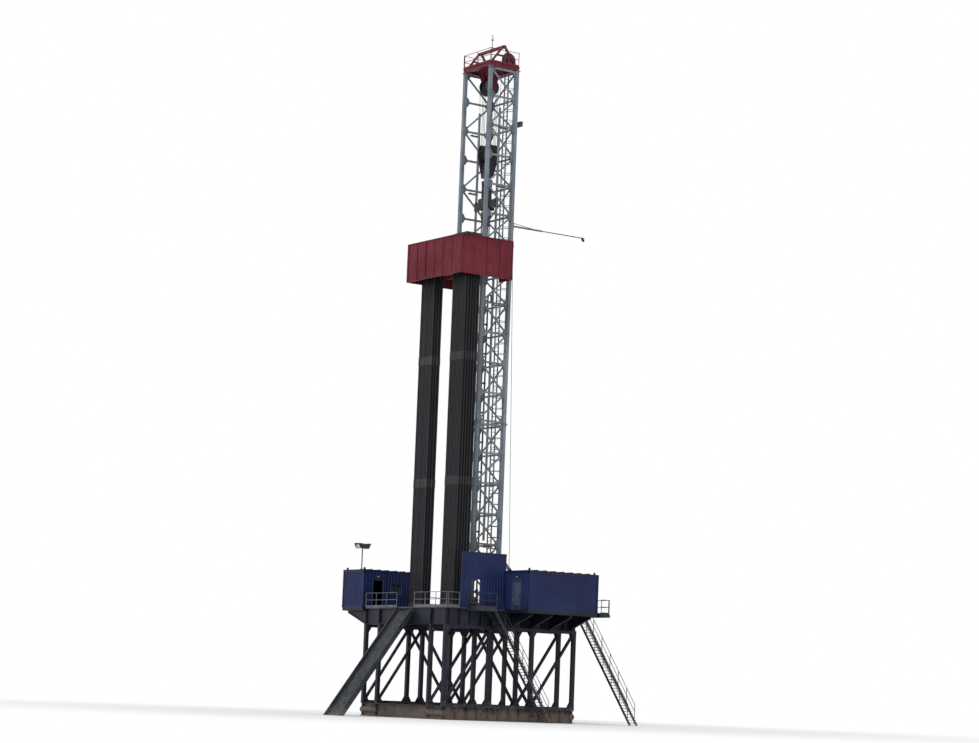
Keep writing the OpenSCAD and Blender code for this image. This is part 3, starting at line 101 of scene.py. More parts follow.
class Nodes:
    """A node tree in the making, where a value is a plain one or another node's output."""

    def __init__(self, tree):
        self.tree = tree

    def add(self, kind, inputs=None, **settings):
        """The outputs of a new node with these settings and inputs."""
        made = self.tree.nodes.new(kind)
        for name, value in settings.items():
            setattr(made, name, value)
        self.feed(made, inputs or {})
        return made.outputs

    def feed(self, node, inputs):
        for label, value in inputs.items():
            if isinstance(value, bpy.types.NodeSocket):
                self.tree.links.new(value, node.inputs[label])
            else:
                node.inputs[label].default_value = value

    def math(self, operation, *values):
        return self.add("ShaderNodeMath", dict(enumerate(values)), operation=operation)[0]

    def stretch(self, place, factors):
        return self.add("ShaderNodeVectorMath", {0: place, 1: factors}, operation="MULTIPLY")[0]

    def parts(self, place):
        return self.add("ShaderNodeSeparateXYZ", {0: place})

    def vector(self, x=0.0, y=0.0, z=0.0):
        return self.add("ShaderNodeCombineXYZ", {0: x, 1: y, 2: z})[0]

    def noise(self, place, scale, detail=4.0, roughness=0.55):
        return self.add("ShaderNodeTexNoise", {"Vector": place, "Scale": scale, "Detail": detail,
                                               "Roughness": roughness})["Fac"]

    def spread(self, value, low, high, to_low=0.0, to_high=1.0):
        """The value between low and high, spread over another range and held at its ends."""
        ends = {"From Min": low, "From Max": high, "To Min": to_low, "To Max": to_high}
        return self.add("ShaderNodeMapRange", {"Value": value, **ends},
                        interpolation_type="SMOOTHSTEP")["Result"]

    def mix(self, share, first, second):
        return self.add("ShaderNodeMix", {0: share, 6: first, 7: second}, data_type="RGBA")[2]

    def close(self, outputs):
        self.add("NodeGroupOutput", outputs)
        return self.tree


def new_group(kind, name, inputs, outputs):
    """An empty node group with named sockets, and what it is given."""
    tree = bpy.data.node_groups.new(name, kind)
    for in_out, sockets in (("INPUT", inputs), ("OUTPUT", outputs)):
        for label, socket in sockets.items():
            tree.interface.new_socket(label, in_out=in_out, socket_type="NodeSocket" + socket)
    net = Nodes(tree)
    return net, net.add("NodeGroupInput")


# Shader groups

GRIME = srgb(20, 20, 23)
RUST = srgb(92, 52, 34)
MUD_COLOUR = srgb(98, 86, 74)
DUST = srgb(104, 97, 88)


def make_weathering():
    """Paint or metal that has stood outdoors: faded patches, grime that ran down, rust spots,
    and dust that settled on what faces up."""
    net, given = new_group(
        "ShaderNodeTree", "weathering",
        {"Place": "Vector", "Fresh": "Color", "Faded": "Color", "Grime": "Color",
         "Rust": "Color", "Grime amount": "Float", "Rust amount": "Float", "Sheen": "Float"},
        {"Colour": "Color", "Roughness": "Float", "Height": "Float"})
    place = given["Place"]
    patches = net.spread(net.noise(place, 0.8, 5), 0.36, 0.66)
    runs = net.spread(net.noise(net.stretch(place, (8, 8, 0.5)), 1.0, 6, 0.62), 0.47, 0.68)
    soot = net.spread(net.noise(place, 2.3, 6, 0.6), 0.45, 0.7)
    dirty = net.math("MULTIPLY", net.math("MAXIMUM", runs, soot), given["Grime amount"])
    spots = net.spread(net.noise(place, 6.5, 9, 0.7), 0.61, 0.69)
    rusty = net.math("MULTIPLY", spots, given["Rust amount"])
    upwards = net.parts(net.add("ShaderNodeNewGeometry")["Normal"])["Z"]
    drifts = net.spread(net.noise(place, 1.7, 7, 0.62), 0.35, 0.7, 0.08, 0.5)
    settled = net.math("MULTIPLY", net.spread(upwards, 0.7, 0.95), drifts)
    colour = net.mix(patches, given["Fresh"], given["Faded"])
    rough = given["Sheen"]
    for mask, coat, roughening in ((dirty, given["Grime"], 0.22), (rusty, given["Rust"], 0.3),
                                   (settled, DUST, 0.4)):
        colour = net.mix(mask, colour, coat)
        rough = net.math("MULTIPLY_ADD", mask, roughening, rough)
    height = net.math("MULTIPLY_ADD", rusty, -0.6, net.noise(place, 55.0, 3))
    return net.close({"Colour": colour, "Roughness": rough, "Height": height})


def make_mud():
    """Mud thrown up from the ground, thinning out towards the given height."""
    net, given = new_group(
        "ShaderNodeTree", "mud",
        {"Place": "Vector", "Colour": "Color", "Mud": "Color", "Reach": "Float"},
        {"Colour": "Color"})
    high = net.math("DIVIDE", net.parts(given["Place"])["Z"], given["Reach"])
    ragged = net.math("MULTIPLY_ADD", net.noise(given["Place"], 4.0, 7, 0.65), 1.6, -0.8)
    amount = net.spread(net.math("ADD", high, ragged), 0.15, 0.75, 0.85, 0.0)
    return net.close({"Colour": net.mix(amount, given["Colour"], given["Mud"])})


def make_tread_pattern():
    """Raised bars of tread plate, in two directions by turns."""
    net, given = new_group("ShaderNodeTree", "tread pattern",
                           {"Place": "Vector", "Bars a metre": "Float"}, {"Height": "Float"})
    heights = []
    for turn in (45, -45):
        turned = net.add("ShaderNodeVectorRotate", {"Vector": given["Place"],
                                                    "Angle": math.radians(turn)},
                         rotation_type="Z_AXIS")[0]
        along, across = [net.math("MULTIPLY", part, given["Bars a metre"])
                         for part in net.parts(turned)[:2]]
        along = net.math("PINGPONG", along, 0.5)
        across = net.math("PINGPONG", net.math("ADD", across, 0.25), 0.5)
        heights.append(net.math("MULTIPLY", net.spread(along, 0.16, 0.22, 1.0, 0.0),
                                net.spread(across, 0.05, 0.1, 1.0, 0.0)))
    return net.close({"Height": net.math("MAXIMUM", *heights)})


WEATHERING = make_weathering()
MUD = make_mud()
TREAD = make_tread_pattern()


# Finishes

class Finish(Nodes):
    """A material in the making, with the place of each point."""

    def __init__(self, name):
        self.material = bpy.data.materials.new(name)
        self.material.use_nodes = True
        super().__init__(self.material.node_tree)
        self.place = self.add("ShaderNodeTexCoord")["Object"]

    def group(self, tree, inputs):
        return self.add("ShaderNodeGroup", {"Place": self.place, **inputs}, node_tree=tree)

    def weather(self, fresh, faded, grime, rust, sheen, rust_colour=RUST):
        return self.group(WEATHERING, {
            "Fresh": fresh, "Faded": faded, "Grime": GRIME, "Rust": rust_colour,
            "Grime amount": grime, "Rust amount": rust, "Sheen": sheen})

    def done(self, inputs, height=None, distance=0.0):
        """The material with these inputs, its surface raised by the height."""
        if height is not None:
            inputs["Normal"] = self.add("ShaderNodeBump", {"Distance": distance, "Strength": 1.0,
                                                           "Height": height})[0]
        self.feed(self.tree.nodes["Principled BSDF"], inputs)
        return self.material


def weathered(name, fresh, faded, grime=0.5, rust=0.3, sheen=0.42, metal=0.0, mud_reach=None):
    """Enamel, or bare steel with metal above 0, with weather on it."""
    net = Finish(name)
    look = net.weather(srgb(*fresh), srgb(*faded), grime, rust, sheen)
    colour = look["Colour"]
    if mud_reach:
        colour = net.group(MUD, {"Colour": colour, "Mud": MUD_COLOUR, "Reach": mud_reach})[0]
    return net.done({"Base Color": colour, "Roughness": look["Roughness"], "Metallic": metal,
                     "Specular IOR Level": 0.25}, look["Height"], 0.0012)


def tread_plate(name, fresh, faded):
    """Anti-slip floor plate, rubbed bright where people walk."""
    net = Finish(name)
    look = net.weather(srgb(*fresh), srgb(*faded), 0.7, 0.35, 0.45)
    bars = net.group(TREAD, {"Bars a metre": 16.0})[0]
    rubbed = net.math("MULTIPLY", bars, net.spread(net.noise(net.place, 1.3, 4), 0.42, 0.62))
    return net.done({"Base Color": net.mix(rubbed, look["Colour"], srgb(112, 114, 118)),
                     "Roughness": look["Roughness"],
                     "Metallic": net.math("MULTIPLY", rubbed, 0.6)}, bars, 0.003)


def oiled_planks(name):
    """Oil-soaked hardwood planks along X, each in its own shade, with dark joints."""
    net = Finish(name)
    plank = 0.15
    rows = net.math("DIVIDE", net.parts(net.place)["Y"], plank)
    shade = net.add("ShaderNodeTexWhiteNoise", {"W": net.math("FLOOR", rows)},
                    noise_dimensions="1D")["Value"]
    grain = net.noise(net.stretch(net.place, (2.5, 40, 40)), 1.0, 6, 0.6)
    tone = net.math("MULTIPLY_ADD", shade, 0.5, net.math("MULTIPLY", grain, 0.6))
    joint = net.spread(net.math("PINGPONG", rows, 0.5), 0.02, 0.05, 1.0, 0.0)
    oil = net.spread(net.noise(net.place, 1.6, 5), 0.45, 0.6)
    colour = net.mix(tone, srgb(44, 34, 27), srgb(112, 90, 70))
    colour = net.mix(joint, colour, srgb(12, 10, 10))
    return net.done({"Base Color": net.mix(net.math("MULTIPLY", oil, 0.7), colour, GRIME),
                     "Roughness": net.spread(oil, 0, 1, 0.75, 0.4)},
                    net.math("SUBTRACT", net.math("MULTIPLY", grain, 0.2), joint), 0.004)


def dusty_glass(name):
    net = Finish(name)
    dust = net.spread(net.noise(net.stretch(net.place, (3, 3, 1)), 1.0, 6), 0.4, 0.75)
    return net.done({"Base Color": net.mix(dust, srgb(70, 84, 96), srgb(120, 118, 112)),
                     "Roughness": net.spread(dust, 0, 1, 0.06, 0.5),
                     "Transmission Weight": 0.75, "IOR": 1.5})


def twisted_rope(name):
    """Greased wire rope, its strands as slanting ridges."""
    net = Finish(name)
    strands = net.add("ShaderNodeTexWave", {"Vector": net.place, "Scale": 28},
                      wave_type="BANDS", bands_direction="DIAGONAL")["Fac"]
    grease = net.spread(net.noise(net.place, 9, 4), 0.4, 0.65)
    colour = net.mix(grease, srgb(92, 92, 94), srgb(30, 29, 29))
    # Painted shade: the grooves between the strands are darkened to near-black where the strand
    # bump is low
    groove_shade = net.spread(strands, 0, 0.35)
    return net.done({"Base Color": net.mix(groove_shade, srgb(18, 18, 19), colour), "Metallic": 0.7,
                     "Roughness": net.spread(grease, 0, 1, 0.5, 0.28)}, strands, 0.003)


def racked_pipe(name):
    """Drill pipe, each stand in its own shade, its tool joints worn bright."""
    net = Finish(name)
    joint, joint_half = 4.72, 0.15
    first_finger, row_start, mat_top = -2.19, 0.697, deck + 0.04
    x, y, z = net.parts(net.place)
    slot, row = [net.math("FLOOR", net.math("DIVIDE", net.math("SUBTRACT", at, start), pitch))
                 for at, start, pitch in ((x, first_finger, SLOT_PITCH),
                                          (net.math("ABSOLUTE", y), row_start, STAND_GAP))]
    seed = net.vector(slot, row, net.math("SIGN", y))
    shade = net.add("ShaderNodeTexWhiteNoise", {"Vector": seed}, noise_dimensions="3D")["Value"]
    fresh = net.mix(shade, srgb(15, 17, 23), srgb(40, 41, 47))
    look = net.weather(fresh, fresh, 0.45, 0.5, 0.38, srgb(58, 43, 38))
    to_joint = net.math("PINGPONG", net.math("SUBTRACT", z, mat_top), joint / 2)
    band = net.spread(to_joint, joint_half, joint_half + 0.012, 1.0, 0.0)
    worn = net.math("MULTIPLY", band, net.spread(shade, 0, 1, 0.3, 0.8))
    return net.done({"Base Color": net.mix(worn, look["Colour"], srgb(72, 72, 74)),
                     "Roughness": look["Roughness"],
                     "Metallic": net.math("MULTIPLY_ADD", worn, 0.4, 0.4)}, look["Height"], 0.001)


def lamp_lens(name):
    net = Finish(name)
    prisms = net.add("ShaderNodeTexWave", {"Vector": net.place, "Scale": 12},
                     bands_direction="Y")["Fac"]
    colour = net.mix(net.noise(net.place, 5), srgb(205, 208, 206), srgb(168, 172, 172))
    return net.done({"Base Color": colour, "Roughness": 0.12, "Coat Weight": 0.6}, prisms, 0.003)


# Painted shade: these colours are set darker than the paints' own, the mast, rail and walkway
# greys most of all, so each is partly the paint's colour and partly the shade of a rig seen
# against the light
FINISHES = {
    "navy_paint": weathered("navy enamel", (16, 18, 31), (26, 29, 46), mud_reach=0.9),
    "blue_paint": weathered("blue enamel", (11, 26, 70), (20, 37, 82), 0.35, 0.18, 0.4),
    "maroon_paint": weathered("maroon enamel", (96, 14, 29), (110, 32, 45), 0.38, 0.25),
    "mast_paint": weathered("mast enamel", (126, 134, 143), (108, 116, 126), 0.35, 0.45, 0.4),
    "rail_paint": weathered("rail enamel", (112, 117, 123), (92, 97, 104), 0.45, 0.4, 0.4),
    "walkway_steel": weathered("galvanised steel", (48, 52, 58), (63, 67, 73), metal=0.35,
                               mud_reach=0.7),
    "deck_plate": tread_plate("tread plate", (54, 57, 66), (70, 73, 80)),
    "drill_pipe": racked_pipe("racked pipe"),
    "machine_steel": weathered("machined steel", (84, 87, 92), (66, 68, 72), 0.7, 0.2, 0.34, 0.7),
    "hoist_paint": weathered("hoist enamel", (48, 48, 56), (60, 58, 64), 0.7, 0.3, 0.36),
    "timber": oiled_planks("oiled planks"),
    "door_paint": weathered("door enamel", (56, 66, 92), (70, 80, 104), 0.45, 0.2),
    "window_glass": dusty_glass("dusty glass"),
    "wire_rope": twisted_rope("wire rope"),
    "lamp_grey": weathered("lamp grey", (62, 64, 68), (76, 78, 82), 0.3, 0.1, 0.4),
}
LENS = lamp_lens("lamp lens")

for part in frame["record"]["subparts"]:
    carried = frame["nodes"][part["node"]]
    carried.data.materials.clear()
    carried.data.materials.append(FINISHES[part["material_slot"]])


# Mesh building

def add_box(shape, low, high):
    low, high = Vector(low), Vector(high)
    place = Matrix.Translation((low + high) / 2) @ Matrix.Diagonal((*(high - low), 1))
    bmesh.ops.create_cube(shape, size=1, matrix=place)


def boxes(*spans):
    """A new shape of boxes, each given by its low and high corners."""
    shape = bmesh.new()
    for low, high in spans:
        add_box(shape, low, high)
    return shape


def add_plate(shape, outline, thickness, place=(0, 0, 0)):
    """Outline in X and Z, thickness along Y, half to each side, moved to its place."""
    rings = [[shape.verts.new(Vector((x, y, z)) + Vector(place)) for x, z in outline]
             for y in (-thickness / 2, thickness / 2)]
    shape.faces.new(rings[0])
    shape.faces.new(reversed(rings[1]))
    for i in range(-1, len(outline) - 1):
        shape.faces.new((rings[0][i + 1], rings[0][i], rings[1][i], rings[1][i + 1]))


def add_round(shape, start, end, radius, sides=12, end_radius=None):
    start, end = Vector(start), Vector(end)
    axis = end - start
    turned = axis.to_track_quat("Z", "Y").to_matrix().to_4x4()
    bmesh.ops.create_cone(shape, cap_ends=True, segments=sides, radius1=radius,
                          radius2=radius if end_radius is None else end_radius,
                          depth=axis.length, matrix=Matrix.Translation((start + end) / 2) @ turned)


def circle(radius, count, turned=0.0, z=0.0):
    """Points evenly round a circle about Z, at one height."""
    angles = [turned + 2 * math.pi * k / count for k in range(count)]
    return [Vector((radius * math.cos(a), radius * math.sin(a), z)) for a in angles]


def add_tube(shape, path, radius, sides=8):
    """A round bar or pipe that follows the path."""
    path = [Vector(p) for p in path]
    side = None
    rings = []
    for i, point in enumerate(path):
        along = (path[min(i + 1, len(path) - 1)] - path[max(i - 1, 0)]).normalized()
        side = side or along.orthogonal()
        side = (side - along * side.dot(along)).normalized()
        other = along.cross(side)
        rings.append([shape.verts.new(point + x * side + y * other)
                      for x, y, _ in circle(radius, sides)])
    for low, high in zip(rings, rings[1:]):
        for k in range(-1, sides - 1):
            shape.faces.new((low[k], low[k + 1], high[k + 1], high[k]))
    shape.faces.new(reversed(rings[0]))
    shape.faces.new(rings[-1])


def rounded_path(points, radius, steps=5):
    """The path through the points, its corners rounded."""
    path = [Vector(points[0])]
    for before, corner, after in zip(points, points[1:], points[2:]):
        corner = Vector(corner)
        first, last = [corner + (Vector(end) - corner).normalized() * radius
                       for end in (before, after)]
        path += [first.lerp(corner, t).lerp(corner.lerp(last, t), t)
                 for t in (i / steps for i in range(steps + 1))]
    return path + [Vector(points[-1])]


def shape_mesh(name, shape):
    bmesh.ops.recalc_face_normals(shape, faces=shape.faces)
    mesh = bpy.data.meshes.new(name)
    shape.to_mesh(mesh)
    shape.free()
    return mesh


def linked(name, data):
    """A new object in the scene."""
    made = bpy.data.objects.new(name, data)
    bpy.context.scene.collection.objects.link(made)
    return made


def finish_piece(name, meshes, slot, body=RIG, material=None):
    """Meshes joined into one named piece in its finish, riding on its body."""
    joined = bmesh.new()
    for mesh in meshes:
        joined.from_mesh(mesh)
    mesh = bpy.data.meshes.new(name)
    joined.to_mesh(mesh)
    joined.free()
    mesh.materials.clear()
    mesh.materials.append(material or FINISHES[slot])
    piece = linked(name, mesh)
    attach(piece, body)


def plain_piece(name, shape, slot, material=None):
    finish_piece(name, [shape_mesh(name, shape)], slot, material=material)


# Geometry Nodes

class Growth(Nodes):
    """A Geometry Nodes tree in the making, with its sizes and other inputs named."""

    def __init__(self, name, *sizes, **others):
        inputs = {"Geometry": "Geometry", **dict.fromkeys(sizes, "Float"), **others,
                  "Finish": "Material"}
        net, self.given = new_group("GeometryNodeTree", name, inputs, {"Geometry": "Geometry"})
        super().__init__(net.tree)
        self.sizes = [self.given[label] for label in sizes]

    def half(self, size):
        return self.math("MULTIPLY", size, 0.5)

    def whole(self, length, pitch):
        """How many times the pitch goes into the length."""
        return self.math("FLOOR", self.math("DIVIDE", length, pitch))

    def block(self, *sizes):
        return self.add("GeometryNodeMeshCube", {"Size": self.vector(*sizes)})["Mesh"]

    def row(self, count, offset, start=(0.0, 0.0, 0.0)):
        return self.add("GeometryNodeMeshLine", {"Count": count, "Offset": offset,
                                                 "Start Location": start})[0]

    def move(self, shape, offset):
        return self.add("GeometryNodeTransform", {"Geometry": shape, "Translation": offset})[0]

    def sweep(self, path, section):
        return self.add("GeometryNodeCurveToMesh", {"Curve": path, "Profile Curve": section,
                                                    "Fill Caps": True})[0]

    def instances(self, points, shape, turn=(0.0, 0.0, 0.0)):
        return self.add("GeometryNodeInstanceOnPoints", {"Points": points, "Instance": shape,
                                                         "Rotation": turn})[0]

    def done(self, *layers):
        """Every tree ends in plain geometry in the finish that it is given."""
        joined = self.tree.nodes.new("GeometryNodeJoinGeometry")
        for layer in layers:
            self.feed(joined, {0: layer})
        plain = self.add("GeometryNodeRealizeInstances", {"Geometry": joined.outputs[0]})[0]
        return self.close({"Geometry": self.add("GeometryNodeSetMaterial", {
            "Geometry": plain, "Material": self.given["Finish"]})[0]})


def make_set_out():
    """A shape set out on every marked point, turned as the mark says."""
    net = Growth("set out", Shape="Object")
    shape = net.add("GeometryNodeObjectInfo", {"Object": net.given["Shape"]})["Geometry"]
    turn = net.add("GeometryNodeInputNamedAttribute", {"Name": "turn"},
                   data_type="FLOAT_VECTOR")["Attribute"]
    return net.done(net.instances(net.given["Geometry"], shape, turn))


def make_ribs():
    """Upright pressed ribs along X, narrower at their outer face, which points to -Y."""
    net = Growth("pressed ribs", "Length", "Height", "Pitch", "Width", "Depth")
    length, height, pitch, width, depth = net.sizes
    count = net.whole(length, pitch)
    step = net.math("DIVIDE", length, net.math("MAXIMUM", count, 1.0))
    place = net.add("GeometryNodeInputPosition")[0]
    outer = net.add("FunctionNodeCompare", {0: net.parts(place)["Y"]}, data_type="FLOAT",
                    operation="LESS_THAN")[0]
    rib = net.add("GeometryNodeSetPosition", {
        "Geometry": net.block(width, depth, height), "Selection": outer,
        "Position": net.stretch(place, (0.5, 1, 0.985))})[0]
    rib = net.move(rib, net.vector(0.0, net.math("MULTIPLY", depth, -0.5), net.half(height)))
    row = net.row(count, net.vector(step), net.vector(net.half(step)))
    return net.done(net.instances(row, rib))


def make_grating():
    """Open walkway grating: bearing bars along X with cross rods over them, its top at Z = 0."""
    net = Growth("grating", "Length", "Width", "Depth", "Bar", "Bar pitch", "Rod pitch")
    length, width, deep, bar, bar_pitch, rod_pitch = net.sizes
    layers = []
    for turned, depth, pitch in ((1, deep, bar_pitch), (-1, bar, rod_pitch)):
        span, across = (length, width)[::turned]
        clear = net.math("SUBTRACT", across, bar)
        count = net.whole(across, pitch)
        step, start = net.math("DIVIDE", clear, count), net.math("MULTIPLY", clear, -0.5)
        low = net.math("MULTIPLY", depth, -0.5)
        row = net.row(net.math("ADD", count, 1.0), net.vector(*(0.0, step)[::turned]),
                      net.vector(*(0.0, start)[::turned], low))
        layers.append(net.instances(row, net.block(*(span, bar)[::turned], depth)))
    return net.done(*layers)


def make_winding():
    """Rope wound on a drum whose axis is Z, one layer, turn beside turn."""
    net = Growth("rope winding", "Drum radius", "Rope radius", "Width")
    drum, rope, width = net.sizes
    lay = net.math("ADD", drum, rope)
    helix = net.add("GeometryNodeCurveSpiral", {
        "Resolution": 32, "Rotations": net.math("DIVIDE", width, net.math("MULTIPLY", rope, 2.0)),
        "Start Radius": lay, "End Radius": lay, "Height": width})[0]
    section = net.add("GeometryNodeCurvePrimitiveCircle", {"Resolution": 6, "Radius": rope})[0]
    return net.done(net.sweep(helix, section))


def make_cage():
    """Ladder cage up Z: hoops open towards -X, with straps down their backs."""
    net = Growth("ladder cage", "Radius", "Height", "Pitch", "Strap", "Thickness")
    radius, height, pitch, strap, thick = net.sizes
    opening, hoop_steps, straps = math.radians(80), 16, 5
    hoop, backs = [net.add("GeometryNodeCurveArc", {
        "Resolution": steps, "Radius": radius, "Start Angle": opening / 2 - math.pi,
        "Sweep Angle": 2 * math.pi - opening})[0] for steps in (hoop_steps, straps)]
    section = net.add("GeometryNodeCurvePrimitiveQuadrilateral", {"Width": thick,
                                                                  "Height": strap})[0]
    count = net.whole(height, pitch)
    row = net.row(net.math("ADD", count, 1.0), net.vector(z=net.math("DIVIDE", height, count)))
    upright = net.move(net.block(thick, strap, height), net.vector(z=net.half(height)))
    points = net.add("GeometryNodeCurveToPoints", {"Curve": backs}, mode="EVALUATED")["Points"]
    x, y, _ = net.parts(net.add("GeometryNodeInputPosition")[0])
    facing = net.vector(z=net.math("ARCTAN2", y, x))
    return net.done(net.instances(row, net.sweep(hoop, section)),
                    net.instances(points, upright, facing))


SET_OUT = make_set_out()
RIBS = make_ribs()
GRATING = make_grating()
WINDING = make_winding()
CAGE = make_cage()


def grow(tree, slot, values, start=None):
    """The plain mesh that a tree makes with these values, in the slot's finish."""
    holder = linked("seed", start or bpy.data.meshes.new("seed"))
    growth = holder.modifiers.new("growth", "NODES")
    growth.node_group = tree
    sockets = {item.name: item.identifier for item in tree.interface.items_tree
               if item.item_type == "SOCKET" and item.in_out == "INPUT"}
    for label, value in {**values, "Finish": FINISHES[slot]}.items():
        growth[sockets[label]] = value
    evaluated = holder.evaluated_get(bpy.context.evaluated_depsgraph_get())
    grown = bpy.data.meshes.new_from_object(evaluated)
    bpy.data.objects.remove(holder)
    return grown


def set_out(shape, places, slot):
    """Copies of a shape at each (place, turn), the turn as angles about X, Y and Z."""
    pattern = linked("pattern", shape_mesh("pattern", shape))
    marks = bpy.data.meshes.new("marks")
    marks.from_pydata([tuple(place) for place, _ in places], [], [])
    turns = marks.attributes.new("turn", "FLOAT_VECTOR", "POINT")
    for mark, (_, turn) in zip(turns.data, places):
        mark.vector = turn
    grown = grow(SET_OUT, slot, {"Shape": pattern}, marks)
    bpy.data.objects.remove(pattern)
    return grown


def copies(name, shape, places, slot, body=RIG, material=None):
    """One piece of copies of a shape, one at each place."""
    finish_piece(name, [set_out(shape, places, slot)], slot, body, material)


def put(mesh, place, turn_z=0.0):
    mesh.transform(Matrix.Translation(Vector(place)) @ Matrix.Rotation(turn_z, 4, "Z"))
    return mesh


QUARTER, HALF = math.pi / 2, math.pi

# Turns that point a shape standing on Z = 0 up, down, to one side along Y or X, or about Z
UP, DOWN = (0, 0, 0), (HALF, 0, 0)
SIDEWAYS = {-1: (QUARTER, 0, 0), 1: (-QUARTER, 0, 0)}
ENDWAYS = {-1: (0, -QUARTER, 0), 1: (0, QUARTER, 0)}
TURN_LEFT, TURN_BACK, TURN_RIGHT = (0, 0, QUARTER), (0, 0, HALF), (0, 0, -QUARTER)


def bolts(name, places, radius, height, body=RIG):
    """Bolt heads with their washers."""
    shape = bmesh.new()
    add_round(shape, (0, 0, -0.002), (0, 0, 0.25 * height), 1.35 * radius, 8)
    add_round(shape, (0, 0, 0.2 * height), (0, 0, height), radius, 6)
    copies(name, shape, places, "machine_steel", body)


# Mast

BOLT_ROWS = ((0.035, -0.15), (0.035, -0.09), (0.035, 0.09), (0.035, 0.15), (0.035, 0),
             (0.105, -0.02), (0.105, 0.02), (0.075, -0.07), (0.075, 0.07))


def mast_bolts():
    """Bolts through the gusset plates where girts and diagonals meet the legs."""
    outer_y, inner_y = [leg_mid.y + s * (GIRT / 2 + GUSSET) for s in (1, -1)]
    rear_x = leg_mid.x + REAR_STRIP / 2 + GUSSET
    rear_edge = leg_in.y - REAR_STRIP / 2
    inset = SPLICE_T + GIRT / 2
    for section, word in enumerate(("lower", "middle", "upper")):
        places = []
        for i in range(SECTION_BAYS + 1):
            first, last = i == 0, i == SECTION_BAYS
            z = mast_base + (section * SECTION_BAYS + i) * bay + inset * (first - last)
            for inward, up in BOLT_ROWS:
                if (first and up <= -GIRT / 2) or (last and up >= GIRT / 2):
                    continue
                for s in SIDES:
                    x, y = s * (leg_in.x - inward), s * (rear_edge - inward)
                    places += [((x, t * face, z + up), SIDEWAYS[t * out]) for face, out in
                               ((outer_y, 1), (inner_y, -1)) for t in SIDES]
                    places.append(((rear_x, y, z + up), ENDWAYS[1]))
        bolts(f"{word}_mast_bolts", places, 0.01, 0.011)


def splice_bolts():
    """Bolts and nuts through the splice plates between the mast's sections."""
    lip = SPLICE_LIP * 0.55
    places = []
    for section in range(SECTIONS):
        z = mast_base + section * SECTION_BAYS * bay
        for level, turn in [(z + SPLICE_T, UP)] + ([(z - SPLICE_T, DOWN)] if section else []):
            for s, t in CORNERS:
                x, y = s * leg_out.x, t * leg_out.y
                for back in (0.02, 0.065, 0.11):
                    places.append(((x + s * lip, y - t * back, level), turn))
                    places.append(((x - s * back, y + t * lip, level), turn))
    bolts("splice_bolts", places, 0.011, 0.016)


def ladder_cage():
    """Safety cage round the mast ladder, in lifts."""
    ladder_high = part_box("mast_ladder")[1]
    radius, start, gap, lifts = 0.19, deck + 1.15, 0.3, 3
    lift = (ladder_high.z - 0.1 - start - 2 * gap) / lifts
    values = {"Radius": radius, "Height": lift, "Pitch": 0.4, "Strap": 0.022, "Thickness": 0.005}
    finish_piece("ladder_cage", [
        put(grow(CAGE, "rail_paint", values),
            (ladder_high.x + radius * 0.74, 0, start + i * (lift + gap))) for i in range(lifts)],
        "rail_paint")


def standpipe():
    """Mud standpipe up the rear of the mast, with its clamps, valve and gooseneck."""
    shape = bmesh.new()
    radius, run_out, clamps = 0.034, 0.45, 10
    x, y = leg_out.x + 0.1, leg_mid.y - 0.09
    low, high = deck + 0.25, mast_base + (clamps + 0.5) * bay
    neck_y = y - 0.22
    add_tube(shape, rounded_path([(x + run_out, y, low), (x, y, low), (x, y, high),
                                  (x, neck_y, high), (x, neck_y, high - 0.28)], 0.1), radius, 12)
    for start, end, width, sides in (
            ((x, neck_y, high - 0.3), (x, neck_y, high - 0.24), radius * 1.7, 12),
            ((x, y, low + 0.45), (x, y, low + 0.62), radius * 1.7, 12),
            ((x, y, low + 0.5), (x + 0.14, y, low + 0.5), 0.012, 8),
            ((x + 0.13, y, low + 0.5), (x + 0.145, y, low + 0.5), 0.07, 12),
            ((x + run_out - 0.03, y, low), (x + run_out, y, low), radius * 1.9, 12)):
        add_round(shape, start, end, width, sides)
    for k in range(clamps):
        z = mast_base + (k + 0.5) * bay
        add_box(shape, (leg_out.x, y - 0.05, z - 0.03), (x, y + 0.05, z + 0.03))
        add_round(shape, (x, y, z - 0.03), (x, y, z + 0.03), radius * 1.35, 10)
    plain_piece("standpipe", shape, "machine_steel")


def cable_ladder():
    """Cable ladder up the rear of the mast, with the cables that lie in it."""
    x = leg_out.x + 0.03
    y0, y1 = -leg_mid.y + 0.03, -leg_mid.y + 0.25
    z0, z1 = deck + 0.3, mast_top - 0.25
    rung_pitch, first_cable, cable_pitch = 0.25, 0.035, 0.037
    tray, cables = bmesh.new(), bmesh.new()
    for y in (y0, y1):
        add_box(tray, (x - 0.03, y - 0.004, z0), (x + 0.03, y + 0.004, z1))
    rungs = int((z1 - z0) / rung_pitch)
    for i in range(rungs + 1):
        z = z0 + i * (z1 - z0) / rungs
        add_box(tray, (x - 0.02, y0, z - 0.008), (x - 0.005, y1, z + 0.008))
    for i, radius in enumerate((0.012, 0.018, 0.015, 0.01, 0.018)):
        y = y0 + first_cable + i * cable_pitch
        add_round(cables, (x - 0.005 + radius, y, z0), (x - 0.005 + radius, y, z1 - 0.3 * i),
                  radius, 8)
    plain_piece("cable_ladder", tray, "walkway_steel")
    plain_piece("mast_cables", cables, "lamp_grey")


def tube_lamps():
    """Strip lamps under some of the side girts, and over the drill floor."""
    body = boxes(((-0.2, -0.03, -0.045), (0.2, 0.03, 0)),
                 ((-0.235, -0.022, -0.035), (0.235, 0.022, -0.012)),
                 *[((x - 0.012, -0.012, 0), (x + 0.012, 0.012, 0.03)) for x in (-0.12, 0.12)])
    lens = bmesh.new()
    add_tube(lens, [(-0.19, 0, -0.05), (0.19, 0, -0.05)], 0.022, 8)
    clear, hang = 0.05, 0.075
    y = leg_mid.y + GIRT / 2 + clear
    places = [((0, s * y, mast_base + k * bay - hang), UP)
              for k in (2, 4, 8, 10, 14, 16) for s in SIDES]
    copies("tube_lamp_bodies", body, places, "lamp_grey")
    copies("tube_lamp_lenses", lens, places, "lamp_grey", material=LENS)


# Walkways

